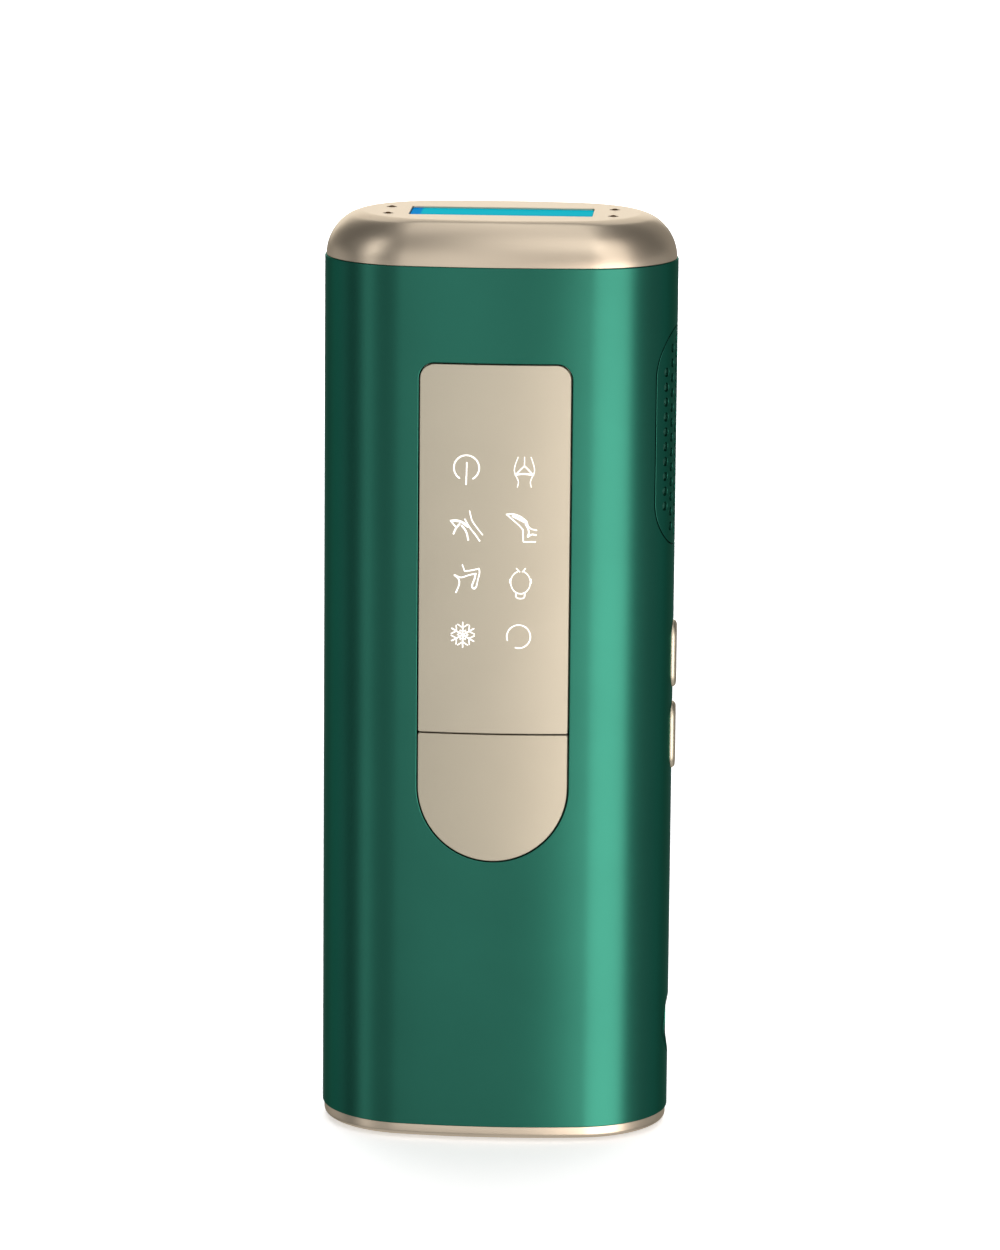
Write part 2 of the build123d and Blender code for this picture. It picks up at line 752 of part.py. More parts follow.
with BuildPart() as transformer:
    with BuildSketch(Plane.XZ.offset(-board_front)):
        with Locations((6.5, 38)):
            Rectangle(13, 15)
    extrude(amount=12)
    with BuildSketch(Plane.XZ.offset(-board_front + 1.5)):
        with Locations((6.5, 38)):
            Rectangle(13, 15)
            Rectangle(8.5, 15, mode=Mode.SUBTRACT)
    extrude(amount=9, mode=Mode.SUBTRACT)
    with BuildSketch(Plane.XZ.offset(-board_front + 2.0)):
        with Locations((6.5, 38)):
            RectangleRounded(12.4, 11, 2)
    extrude(amount=8)
save(transformer, "transformer")

with BuildPart() as trigger_coil:
    with BuildSketch(Plane.XZ.offset(-board_front)):
        with Locations((6.5, 86)):
            RectangleRounded(9, 13, 1.5)
    extrude(amount=9)
    fillet(edges().group_by(Axis.Y)[0], 1.0)
save(trigger_coil, "trigger_coil")

with BuildPart() as power_transistor:
    with BuildSketch(Plane.XZ.offset(-board_front)):
        with Locations((7, 67.5)):
            Rectangle(10, 15)
            with Locations((0, 5.2)):
                Circle(1.8, mode=Mode.SUBTRACT)
    extrude(amount=1.3)
    with BuildSketch(Plane.XZ.offset(-board_front + 1.3)):
        with Locations((7, 64.6)):
            Rectangle(10, 9.2)
    extrude(amount=3.2)
save(power_transistor, "power_transistor")

with BuildPart() as controller_chip:
    with BuildSketch(Plane.XZ.offset(-board_front)):
        with Locations((-6, 88)):
            Rectangle(10, 10)
    extrude(amount=1.4)
    chamfer(edges().group_by(Axis.Y)[0], 0.25)
save(controller_chip, "controller_chip")

with BuildPart(Plane.XZ.offset(-board_front + 3)) as filter_inductor:
    with Locations((-6, 69)):
        Torus(5.0, 2.6)
        Cylinder(5.0, 6.0)
        Cylinder(2.6, 8.0, mode=Mode.SUBTRACT)
save(filter_inductor, "filter_inductor")

with BuildPart() as ribbon_connectors:
    for back in (board_front, key_board_back + 3):
        with BuildSketch(Plane.XZ.offset(-back)):
            with Locations((0, 56.6)):
                Rectangle(12, 3)
        extrude(amount=3)
save(ribbon_connectors, "ribbon_connectors")

with BuildPart() as key_ribbon:
    with BuildSketch(Plane.XZ.offset(-board_front + 3)):
        with Locations((0, 56.6)):
            Rectangle(10, 0.3)
    extrude(amount=board_front - 6 - key_board_back)
save(key_ribbon, "key_ribbon")

# ---------------------------------------------------------------- power inlet
socket_body_front = 27.6
socket_board_top = 12.8
with BuildPart() as dc_socket:
    with BuildSketch(Plane.YZ.offset(16)):
        with Locations((0, inlet_height)):
            RectangleRounded(9.2, 2 * (inlet_height - socket_board_top), 0.8)
    extrude(amount=socket_body_front - 16)
    with BuildSketch(Plane.YZ.offset(socket_body_front)):
        with Locations((0, inlet_height)):
            Circle(3.6)
    extrude(amount=inlet_mouth - socket_body_front)
    with BuildSketch(Plane.YZ.offset(inlet_mouth)):
        with Locations((0, inlet_height)):
            Circle(plug_radius)
    extrude(amount=-1.6, mode=Mode.SUBTRACT)
    with BuildSketch(Plane.YZ.offset(inlet_mouth)):
        with Locations((0, inlet_height)):
            Circle(barrel_radius)
    extrude(amount=-10.5, mode=Mode.SUBTRACT)
save(dc_socket, "dc_socket")

with BuildPart() as dc_socket_pin:
    with BuildSketch(Plane.YZ.offset(inlet_mouth - 10.5)):
        with Locations((0, inlet_height)):
            Circle(inlet_pin_radius)
    extrude(amount=7.5)
save(dc_socket_pin, "dc_socket_pin")

with BuildPart() as socket_board:
    with BuildSketch(Plane.XY.offset(socket_board_top - 1.6)):
        with Locations((20.8, 0)):
            Rectangle(11.6, 12)
    extrude(amount=1.6)
save(socket_board, "socket_board")
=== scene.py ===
import json
import math

import bmesh
import bpy
import numpy as np
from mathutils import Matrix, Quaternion, Vector
from mathutils.geometry import delaunay_2d_cdt


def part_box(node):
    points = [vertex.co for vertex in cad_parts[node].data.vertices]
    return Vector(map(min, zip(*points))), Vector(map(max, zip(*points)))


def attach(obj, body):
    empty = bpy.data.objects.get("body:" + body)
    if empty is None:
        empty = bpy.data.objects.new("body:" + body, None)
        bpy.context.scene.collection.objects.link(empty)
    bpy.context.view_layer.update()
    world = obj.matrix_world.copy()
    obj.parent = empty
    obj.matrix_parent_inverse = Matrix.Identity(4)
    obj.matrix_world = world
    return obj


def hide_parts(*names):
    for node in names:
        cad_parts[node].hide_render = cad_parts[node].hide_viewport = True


# Looks of the IPL hair remover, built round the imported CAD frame. Shapes are worked out in
# millimetres and turned into metres when a mesh is made. The front faces -Y.

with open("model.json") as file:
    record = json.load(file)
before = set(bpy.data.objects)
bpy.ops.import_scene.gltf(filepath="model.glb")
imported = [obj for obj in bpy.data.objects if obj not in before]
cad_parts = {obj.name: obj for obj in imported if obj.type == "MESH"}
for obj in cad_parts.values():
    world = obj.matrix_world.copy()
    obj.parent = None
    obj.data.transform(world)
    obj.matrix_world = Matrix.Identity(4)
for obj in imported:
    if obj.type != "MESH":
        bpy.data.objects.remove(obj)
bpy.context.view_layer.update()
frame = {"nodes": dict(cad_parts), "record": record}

MM = 0.001


def node_box(node):
    """A CAD node's lowest and highest corners, in millimetres."""
    low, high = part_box(node)
    return np.array(low) / MM, np.array(high) / MM


def node_middle(node, axis):
    """The middle of a CAD node along an axis, in millimetres."""
    low, high = node_box(node)
    return (low[axis] + high[axis]) / 2


# ---- sizes, from the frame
SLEEVE_LOW, SEAM = (corner[2] for corner in node_box("sleeve"))
HEAD_TOP = node_box("treatment_head")[1][2]
BASE_LOW = node_box("base_cover")[0][2]
WINDOW_TOP = node_box("sapphire_window")[1][2]
WINDOW_CENTRE = node_middle("sapphire_window", 1)
VENT_CENTRE = node_middle("vent_grille", 2)
INLET_HEIGHT = node_middle("dc_socket_pin", 2)
INLET_MOUTH = node_box("dc_socket")[1][0]
KEY_FACE = node_box("side_key_upper")[1][0]
BUTTON_LOW, BUTTON_HIGH = (corner[2] for corner in node_box("flash_button"))
PANEL_HIGH = node_box("control_panel")[1][2]
LED_LOW, LED_HIGH = node_box("icon_leds")

BODY_WIDTH = 62.0
BODY_DEPTH = 36.0
SIDE_RADIUS = 17.0
WALL = 2.2
GAP = 0.2                    # visible gap round panel, button, keys and vent
FLANGE = 1.9                 # reach of the panel flanges past the opening
PANEL_WIDTH = 26.3
PANEL_CORNER = 2.6
SPLIT = BUTTON_HIGH + 0.4
SPLIT_CORNER = 0.35          # corners of the panel and button along their split
SKIN_BACK = 2.25             # depth of the back of the flush skins
FLANGE_FRONT = 2.3           # depth of the front of their flanges
VENT_SIZE = (20.0, 38.6)
VENT_CORNER = 8.3
VENT_HOLE = 0.8
VENT_COLUMNS = (10, 13, 14, 13, 14, 13, 10)
VENT_COLUMN_STEP = 2.43
VENT_PITCH = 2.63
SHADE_SHEET_DEPTH = 0.5           # dark sheet below the vent surface, painted shade inside the holes
SHADE_SHEET_THICKNESS = 0.3
SHADE_SHEET_OVERLAP = 0.1         # reach of the shade sheet past a hole's edge
KEY_SIZE = (5.6, 12.1)
KEY_FLANGE = 1.0             # reach of a key's flange past its cap
KEY_FLANGE_DEPTHS = (3.4, 4.4)
LIP = 0.16                   # rounding of panel and opening edges
FINE_LIP = 0.1               # rounding of flanges and small edges
END_SHORTFALL = 0.01         # how much less than half the width a round end's radius is


# ---- curves and surfaces
class Oval:
    """Four tangent arcs, walked anticlockwise (seen from above) from the middle of the back."""

    def __init__(self, width, depth, side_radius):
        centre = width / 2 - side_radius
        face = (centre**2 + (depth / 2) ** 2 - side_radius**2) / (depth - 2 * side_radius)
        offset = face - depth / 2
        spread = math.atan2(centre, offset)
        quarter = math.pi / 2
        # centre x, centre y, radius, start angle, turn
        self.arcs = np.array([
            (0, -offset, face, quarter, spread),
            (-centre, 0, side_radius, quarter + spread, math.pi - 2 * spread),
            (0, offset, face, 3 * quarter - spread, 2 * spread),
            (centre, 0, side_radius, 3 * quarter + spread, math.pi - 2 * spread),
            (0, -offset, face, 5 * quarter - spread, spread),
        ])
        self.starts = np.concatenate([[0], np.cumsum(self.arcs[:, 2] * self.arcs[:, 4])])
        self.length = self.starts[-1]
        self.face = face
        self.side = side_radius
        self.front = (self.starts[2] + self.starts[3]) / 2
        self.right = (self.starts[3] + self.starts[4]) / 2

    def at(self, s):
        """Points (N, 2) and outward normals (N, 2) at arc lengths s."""
        s = np.mod(s, self.length)
        arc = np.clip(np.searchsorted(self.starts, s, side="right") - 1, 0, 4)
        x, y, radius, start, _ = self.arcs[arc].T
        angle = start + (s - self.starts[arc]) / radius
        normal = np.stack([np.cos(angle), np.sin(angle)], 1)
        return np.stack([x, y], 1) + normal * radius[:, None], normal

    def ring(self, counts=(18, 80, 36, 80, 18)):
        """The same number of points on each arc, so that rings of different ovals match."""
        spans = zip(self.starts, self.starts[1:], counts)
        marks = [np.linspace(start, end, count, endpoint=False) for start, end, count in spans]
        return self.at(np.concatenate(marks))[0]

    def front_mark(self, x):
        """Arc length on the front face at a place across the body."""
        return self.front + self.face * np.arcsin(np.asarray(x) / self.face)

    def right_mark(self, y):
        """Arc length on the right side at a depth y."""
        return self.right + self.side * np.arcsin(np.asarray(y) / self.side)


BODY = Oval(BODY_WIDTH, BODY_DEPTH, SIDE_RADIUS)


def body_wall(u, v):
    """The body's outer surface: u is arc length, v is height."""
    points, normals = BODY.at(u)
    zero = np.zeros_like(u)
    across = np.stack([-normals[:, 1], normals[:, 0], zero], 1)
    up = np.tile((0.0, 0.0, 1.0), (len(u), 1))
    return np.column_stack([points, v]), across, up, np.column_stack([normals, zero])


def plane(origin, right, up):
    """A flat surface function with the given axes."""
    origin, right, up = (np.array(a, float) for a in (origin, right, up))

    def surface(u, v):
        points = origin + u[:, None] * right + v[:, None] * up
        shape = (len(u), 1)
        return points, np.tile(right, shape), np.tile(up, shape), np.tile(np.cross(right, up), shape)

    return surface


def arc_points(centre, radius, start, end, steps):
    """Points on an arc, in degrees, both ends included."""
    angle = np.radians(np.linspace(start, end, steps + 1))
    return np.stack([centre[0] + radius * np.cos(angle), centre[1] + radius * np.sin(angle)], 1)


def rounded_box(centre, size, corner, steps=10):
    """Anticlockwise rounded rectangle with points along its straight sides."""
    x, y = centre
    dx, dy = size[0] / 2 - corner, size[1] / 2 - corner
    corners = [
        arc_points((x + sx * dx, y + sy * dy), corner, start, start + 90, steps)
        for sx, sy, start in ((1, 1, 0), (-1, 1, 90), (-1, -1, 180), (1, -1, 270))
    ]
    return spaced(np.concatenate(corners))


def tongue(half, bottom, top, corner, steps=40, corner_steps=10):
    """Anticlockwise outline with a half-round lower end and rounded upper corners."""
    x, z = half - corner, top - corner
    return spaced(np.concatenate([
        arc_points((0, bottom + half), half, 180, 360, steps),
        arc_points((x, z), corner, 0, 90, corner_steps),
        arc_points((-x, z), corner, 90, 180, corner_steps),
    ]))


def circle(centre, radius, steps=24):
    """Anticlockwise circle."""
    return arc_points(centre, radius, 0, 360, steps)[:-1]


def spaced(outline, step=1.5):
    """The outline with extra points along its long straight runs, and no doubled ones."""
    result = []
    for here, there in zip(outline, np.roll(outline, -1, 0)):
        length = np.hypot(*(there - here))
        if length < 1e-6:
            continue
        parts = max(1, math.ceil(length / step))
        result += [here + (there - here) * i / parts for i in range(parts)]
    return np.array(result)


def inward_normals(loop):
    """In-plane mitred directions into the material, which is on the left of the walk."""
    before = loop - np.roll(loop, 1, 0)
    after = np.roll(loop, -1, 0) - loop
    sides = []
    for edge in (before, after):
        unit = edge / np.linalg.norm(edge, axis=1, keepdims=True)
        sides.append(np.stack([-unit[:, 1], unit[:, 0]], 1))
    middle = sides[0] + sides[1]
    middle /= np.linalg.norm(middle, axis=1, keepdims=True)
    return middle / np.maximum(0.5, np.sum(middle * sides[0], 1))[:, None]


def inside(points, loop):
    """Which points lie inside a closed loop."""
    x, y = points.T
    result = np.zeros(len(points), bool)
    for (x0, y0), (x1, y1) in zip(loop, np.roll(loop, -1, 0)):
        if y0 == y1:
            continue
        crosses = (y0 > y) != (y1 > y)
        result ^= crosses & (x < (x1 - x0) * (y - y0) / (y1 - y0) + x0)
    return result


def fill(loops, spacing):
    """Triangulate the region inside the first loop and outside the others.

    Returns the points, the triangles and each loop's point indices."""
    low, high = loops[0].min(0), loops[0].max(0)
    counts = np.maximum(1, np.ceil((high - low) / spacing)).astype(int)
    grid = np.stack(np.meshgrid(*(
        np.linspace(low[i], high[i], counts[i] + 1)[1:-1] for i in range(2)
    )), -1).reshape(-1, 2)
    keep = inside(grid, loops[0])
    for loop in loops[1:]:
        keep &= ~inside(grid, loop)
    clear = 0.4 * min(spacing)
    for place in np.concatenate(loops):
        keep &= np.abs(grid - place).max(1) > clear
    grid = grid[keep]
    points = np.concatenate(loops + [grid])
    edges, indices, start = [], [], 0
    for loop in loops:
        ring = np.arange(start, start + len(loop))
        edges += list(zip(ring.tolist(), np.roll(ring, -1).tolist()))
        indices.append(ring)
        start += len(loop)
    result = delaunay_2d_cdt([Vector(p) for p in points], edges, [], 0, 1e-7)
    found = np.array([tuple(v) for v in result[0]])
    triangles = np.array(result[2])
    order = np.full(len(points), -1)
    for new, originals in enumerate(result[3]):
        for original in originals:
            order[original] = new
    middles = found[triangles].mean(1)
    keep = inside(middles, loops[0])
    for loop in loops[1:]:
        keep &= ~inside(middles, loop)
    return found, triangles[keep], [order[ring] for ring in indices]


class Draft:
    """A mesh being put together from sheets and rings, in millimetres, with its own normals."""

    def __init__(self):
        self.points, self.normals, self.faces = [], [], []
        self.count = 0

    def add(self, points, normals):
        """Add vertices and return their indices."""
        self.points.append(np.asarray(points, float))
        normals = np.asarray(normals, float)
        self.normals.append(normals / np.maximum(1e-9, np.linalg.norm(normals, axis=1, keepdims=True)))
        first = self.count
        self.count += len(points)
        return np.arange(first, self.count)

    def sheet(self, indices, triangles, flip=False):
        """Add the triangles of a filled region."""
        order = triangles[:, ::-1] if flip else triangles
        self.faces += indices[order].tolist()

    def bridge(self, ring, other, closed=True):
        """Join two rings with quads."""
        last = len(ring) if closed else len(ring) - 1
        for i in range(last):
            j = (i + 1) % len(ring)
            self.faces.append([ring[i], other[i], other[j], ring[j]])

    def rings(self, stack):
        """Add a stack of rings (rows, N, 3), joined to each other, and return their indices."""
        stack = np.asarray(stack)
        along = np.roll(stack, -1, 1) - np.roll(stack, 1, 1)
        down = np.gradient(stack, axis=0)
        normals = np.cross(along, -down)
        rows = [self.add(points, normal) for points, normal in zip(stack, normals)]
        for upper, lower in zip(rows, rows[1:]):
            self.bridge(upper, lower)
        return rows

    def build(self, name, material, body, slot, *nodes):
        """Make the object, closed and facing outwards, on its body and in place of its CAD nodes."""
        points = np.concatenate(self.points)
        normals = np.concatenate(self.normals)
        mesh = bpy.data.meshes.new(name)
        mesh.from_pydata((points * MM).tolist(), [], self.faces)
        grown = bmesh.new()
        grown.from_mesh(mesh)
        bmesh.ops.recalc_face_normals(grown, faces=grown.faces)
        grown.to_mesh(mesh)
        grown.free()
        mesh.shade_smooth()
        mesh.normals_split_custom_set_from_vertices(normals.tolist())
        mesh.materials.append(material)
        piece = bpy.data.objects.new(name, mesh)
        bpy.context.scene.collection.objects.link(piece)
        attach(piece, body)
        if nodes:
            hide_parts(*nodes)
        return piece


def rim(draft, surface, top_ring, bottom_ring, loop, inward, top, bottom, lip, steps=4):
    """Round a sheet's edge over its lip and take the wall down to the sheet below."""
    ring = top_ring
    for step in range(1, steps + 2):
        turn = min(step, steps) / steps * math.pi / 2
        spot = loop + inward * lip * (1 - math.sin(turn))
        points, right, up, normal = surface(*spot.T)
        depth = top + lip * (1 - math.cos(turn)) if step <= steps else bottom
        into = inward[:, :1] * right + inward[:, 1:] * up
        new_ring = draft.add(points - normal * depth, normal * math.cos(turn) - into * math.sin(turn))
        draft.bridge(ring, new_ring)
        ring = new_ring
    draft.bridge(ring, bottom_ring)


def plate(draft, surface, flat, triangles, top, bottom):
    """Two parallel sheets with the same triangles, at two depths below a surface."""
    points, _, _, normal = surface(*flat.T)
    upper = draft.add(points - normal * top, normal)
    lower = draft.add(points - normal * bottom, -normal)
    draft.sheet(upper, triangles)
    draft.sheet(lower, triangles, flip=True)
    return upper, lower


def slab(draft, surface, outline, holes=(), top=0.0, bottom=SKIN_BACK, lip=LIP, spacing=(1.0, 3.0)):
    """A closed plate that follows a surface, from one depth to another, with rounded front edges."""
    loops = [outline] + [hole[::-1] for hole in holes]
    inwards = [inward_normals(loop) for loop in loops]
    shrunk = [loop + inward * lip for loop, inward in zip(loops, inwards)]
    flat, triangles, rings = fill(shrunk, spacing)
    upper, lower = plate(draft, surface, flat, triangles, top, bottom)
    for loop, inward, ring in zip(loops, inwards, rings):
        rim(draft, surface, upper[ring], lower[ring], loop, inward, top, bottom, lip)


# ---- materials
NOISE_RANGE = (0.3, 0.7)     # where most of a noise texture's values lie


def blank_material(name):
    """A new material with its node tree, shader and object coordinates."""
    material = bpy.data.materials.new(name)
    material.use_nodes = True
    nodes, links = material.node_tree.nodes, material.node_tree.links
    shader = nodes["Principled BSDF"]
    place = nodes.new("ShaderNodeTexCoord").outputs["Object"]
    return material, nodes, links, shader, place


def noise(nodes, links, place, scale, detail=2.0, stretch=None):
    """A noise texture's value, optionally stretched along an axis."""
    texture = nodes.new("ShaderNodeTexNoise")
    texture.inputs["Scale"].default_value = scale
    texture.inputs["Detail"].default_value = detail
    if stretch:
        mapping = nodes.new("ShaderNodeMapping")
        mapping.inputs["Scale"].default_value = stretch
        links.new(place, mapping.inputs["Vector"])
        place = mapping.outputs["Vector"]
    links.new(place, texture.inputs["Vector"])
    return texture.outputs["Fac"]


def blend_colour(nodes, links, factor, first, second, limits=NOISE_RANGE):
    """A colour that goes from first to second as a factor goes between two limits."""
    ramp = nodes.new("ShaderNodeValToRGB")
    for stop, position, colour in zip(ramp.color_ramp.elements, limits, (first, second)):
        stop.position = position
        stop.color = colour
    links.new(factor, ramp.inputs["Fac"])
    return ramp.outputs["Color"]


def spread(nodes, links, value, low, high, limits=NOISE_RANGE, kind="LINEAR"):
    """A number that goes from low to high as a value goes between two limits."""
    span = nodes.new("ShaderNodeMapRange")
    span.interpolation_type = kind
    for socket, number in zip(("From Min", "From Max", "To Min", "To Max"), (*limits, low, high)):
        span.inputs[socket].default_value = number
    links.new(value, span.inputs["Value"])
    return span.outputs["Result"]


def ease(nodes, links, value, low, high, limits):
    """The same, with a soft start and end."""
    return spread(nodes, links, value, low, high, limits, "SMOOTHSTEP")


def finish_of(name, colour, roughness, metallic=0.0, shade=0.06, patch=60.0, grain=2500.0, bump=0.02,
              coat=0.0, tint=(1, 1, 1), stretch=None):
    """A surface with slight patches in colour and gloss, and a fine grain in its relief."""
    material, nodes, links, shader, place = blank_material(name)
    patches = noise(nodes, links, place, patch)
    fine = noise(nodes, links, place, grain, 3.0, stretch)
    darker = tuple(c * (1 - shade) for c in colour) + (1.0,)
    lighter = tuple(min(1.0, c * (1 + shade)) for c in colour) + (1.0,)
    links.new(blend_colour(nodes, links, patches, darker, lighter), shader.inputs["Base Color"])
    links.new(spread(nodes, links, fine, roughness * 0.92, roughness * 1.08), shader.inputs["Roughness"])
    relief = nodes.new("ShaderNodeBump")
    relief.inputs["Strength"].default_value = bump
    relief.inputs["Distance"].default_value = 0.0001
    links.new(fine, relief.inputs["Height"])
    links.new(relief.outputs["Normal"], shader.inputs["Normal"])
    shader.inputs["Metallic"].default_value = metallic
    shader.inputs["Specular Tint"].default_value = (*tint, 1)
    shader.inputs["Coat Weight"].default_value = coat
    shader.inputs["Coat Roughness"].default_value = 0.25
    return material


def window_material():
    """Glossy cyan treatment glass, bluer and darker along its front and with a deep blue end, both painted
    reflection, and a painted glow.
    """
    material, nodes, links, shader, place = blank_material("treatment_glass")
    split = nodes.new("ShaderNodeSeparateXYZ")
    links.new(place, split.inputs["Vector"])
    # places along Y and X are in metres
    # painted reflection: the glass is darker and bluer towards its front, and deep blue at its left end
    front_reflection_share = ease(nodes, links, split.outputs["Y"], 0, 1, (-0.0062, -0.0015))
    end_reflection_share = ease(nodes, links, split.outputs["X"], 0, 1, (-0.0144, -0.0138))
    front, middle = (0.0015, 0.19, 0.31, 1), (0.002, 0.31, 0.38, 1)
    cyan = blend_colour(nodes, links, front_reflection_share, front, middle, (0, 1))
    mix = nodes.new("ShaderNodeMix")
    mix.data_type = "RGBA"
    mix.inputs["A"].default_value = (0.0, 0.15, 0.40, 1)
    links.new(end_reflection_share, mix.inputs["Factor"])
    links.new(cyan, mix.inputs["B"])
    for socket in ("Base Color", "Emission Color"):
        links.new(mix.outputs["Result"], shader.inputs[socket])
    # painted glow: the window is no lamp, and this emission stands in for light on it
    shader.inputs["Emission Strength"].default_value = 0.42
    shader.inputs["Metallic"].default_value = 0.12
    shader.inputs["Specular IOR Level"].default_value = 0.0
    shader.inputs["Specular Tint"].default_value = (0.0, 0.40, 0.52, 1)
    gloss = noise(nodes, links, place, 90.0)
    links.new(spread(nodes, links, gloss, 0.04, 0.07), shader.inputs["Roughness"])
    return material


def icon_material():
    """Lit white symbols."""
    material, nodes, links, shader, place = blank_material("lit_icon")
    glow = noise(nodes, links, place, 400.0)
    tint = blend_colour(nodes, links, glow, (0.86, 0.85, 0.80, 1), (1, 1, 0.97, 1))
    links.new(tint, shader.inputs["Base Color"])
    links.new(tint, shader.inputs["Emission Color"])
    shader.inputs["Emission Strength"].default_value = 0.3
    shader.inputs["Roughness"].default_value = 0.4
    return material


SATIN = dict(metallic=1.0, shade=0.02, grain=5000.0)
GREEN = finish_of("green_lacquer", (0.024, 0.158, 0.111), 0.33, metallic=1.0, shade=0.03, grain=5000.0,
                  bump=0.012, coat=0.1, tint=(0.18, 0.42, 0.36))
CHAMPAGNE = finish_of("champagne_head", (0.71, 0.6, 0.465), 0.36, bump=0.012, tint=(0.87, 0.82, 0.73),
                      **SATIN)
# dark brown of the sensor contacts: partly their own colour, partly painted shade for the shading their
# raised domes get
BRONZE_AND_SHADE = finish_of("bronze_contact_and_painted_shade", (0.13, 0.085, 0.05), 0.35, bump=0.01, tint=(0.35, 0.25, 0.17), **SATIN)
PANEL = finish_of("champagne_panel", (0.64, 0.575, 0.45), 0.4, bump=0.015, tint=(0.85, 0.75, 0.62), **SATIN)
BUTTON = finish_of("champagne_button", (0.62, 0.555, 0.43), 0.4, bump=0.015, tint=(0.8, 0.68, 0.55),
                   **SATIN)
# dark green sheet inside the vent holes: painted shade standing in for the shade in them
VENT_SHADE = finish_of("vent_hole_painted_shade", (0.009, 0.060, 0.042), 0.5, shade=0.1, bump=0.2, grain=4000.0)
RUBBER = finish_of("rubber", (0.02, 0.02, 0.02), 0.8, bump=0.3, grain=1200.0)
STEEL = finish_of("zinc_steel", (0.55, 0.55, 0.53), 0.35, metallic=1.0, patch=300.0)
NICKEL = finish_of("nickel", (0.70, 0.66, 0.60), 0.2, metallic=1.0, patch=300.0)
WINDOW = window_material()
ICON = icon_material()

# the finish of each CAD material slot
CAD_FINISHES = {
    "green_body": GREEN, "champagne_head": CHAMPAGNE, "champagne_panel": PANEL, "champagne_button": BUTTON,
    "champagne_pin": NICKEL, "nickel": NICKEL, "zinc_steel": STEEL, "switch_metal": STEEL,
    "black_silicone": RUBBER, "black_rubber": RUBBER, "treatment_glass": WINDOW,
}
for name, colour, roughness, settings in (
    ("black_plastic", (0.022, 0.022, 0.024), 0.55, dict(bump=0.15, grain=1500.0)),
    ("grey_plastic", (0.07, 0.072, 0.075), 0.6, dict(bump=0.2, grain=1500.0)),
    ("white_plastic", (0.75, 0.75, 0.72), 0.5, dict(bump=0.1, grain=1500.0)),
    ("copper", (0.72, 0.36, 0.22), 0.35, dict(metallic=1.0, stretch=(1, 1, 0.05))),
    ("bare_aluminium", (0.65, 0.66, 0.67), 0.4, dict(metallic=1.0, stretch=(0.05, 1, 1))),
    ("mirror_aluminium", (0.88, 0.88, 0.89), 0.08, dict(metallic=1.0)),
    ("white_ceramic", (0.80, 0.80, 0.76), 0.65, dict(bump=0.2)),
    ("circuit_board", (0.02, 0.12, 0.05), 0.35, dict(shade=0.25, patch=700.0, coat=0.3)),
    ("orange_film", (0.60, 0.24, 0.03), 0.3, {}),
    ("lamp_glass", (0.80, 0.84, 0.86), 0.05, dict(coat=0.5)),
    ("filter_glass", (0.02, 0.35, 0.50), 0.05, dict(coat=0.5)),
    ("capacitor_sleeve", (0.02, 0.025, 0.05), 0.3, dict(coat=0.3)),
    ("transformer_tape", (0.55, 0.38, 0.03), 0.4, dict(stretch=(1, 1, 8))),
    ("potting_resin", (0.02, 0.02, 0.025), 0.25, dict(coat=0.3)),
    ("ferrite", (0.05, 0.05, 0.05), 0.5, dict(shade=0.3, patch=500.0)),
):
    CAD_FINISHES[name] = finish_of(name, colour, roughness, **settings)


def finish_cad_nodes():
    """Give every carried-over CAD node the procedural finish of its slot."""
    for subpart in frame["record"]["subparts"]:
        mesh = frame["nodes"][subpart["node"]].data
        mesh.materials.clear()
        mesh.materials.append(CAD_FINISHES[subpart["material_slot"]])


# ---- sleeve
def front_outline(outline):
    """An outline across the front, (x, z), as marks on the body's surface."""
    return np.column_stack([BODY.front_mark(outline[:, 0]), outline[:, 1]])


def side_outline(outline):
    """An outline on the right side, (y, z), as marks on the body's surface."""
    return np.column_stack([BODY.right_mark(outline[:, 0]), outline[:, 1]])


INLET_FLOOR = 4.4            # radius of the recess floor
INLET_HOLE = 3.8             # radius of the hole for the socket's nose
INLET_SLOPE = 1.3 / 2.1      # how fast the recess widens outwards
SLEEVE_ROWS = 52             # points up the edge of the unrolled sleeve
SLEEVE_COLUMNS = 261         # points along its top and bottom edges


def inlet_outline(steps=64):
    """Where the inlet's conical recess meets the round side of the body, as (y, z)."""
    angle = np.linspace(0, 2 * math.pi, steps, endpoint=False)
    radius = np.full(steps, INLET_FLOOR)
    for _ in range(12):
        y = radius * np.cos(angle)
        x = BODY_WIDTH / 2 - SIDE_RADIUS + np.sqrt(SIDE_RADIUS**2 - y**2)
        radius = INLET_FLOOR + (x - INLET_MOUTH) * INLET_SLOPE
    return np.column_stack([radius * np.cos(angle), INLET_HEIGHT + radius * np.sin(angle)]), angle


def sleeve_openings():
    """Outlines of the openings for the panel, the vent and the keys, with the gaps round them."""
    panel = tongue(PANEL_WIDTH / 2 + GAP, BUTTON_LOW + FLANGE - GAP, PANEL_HIGH - FLANGE + GAP,
                   PANEL_CORNER + GAP)
    vent_size = (VENT_SIZE[0] + 2 * GAP, VENT_SIZE[1] + 2 * GAP)
    vent = rounded_box((0, VENT_CENTRE), vent_size, VENT_CORNER + GAP, 24)
    openings = [front_outline(panel), side_outline(vent)]
    key_size = (KEY_SIZE[0] + 2 * GAP, KEY_SIZE[1] + 2 * GAP)
    for node in ("side_key_upper", "side_key_lower"):
        key = rounded_box((0, node_middle(node, 2)), key_size, key_size[0] / 2 - END_SHORTFALL, 20)
        openings.append(side_outline(key))
    return openings


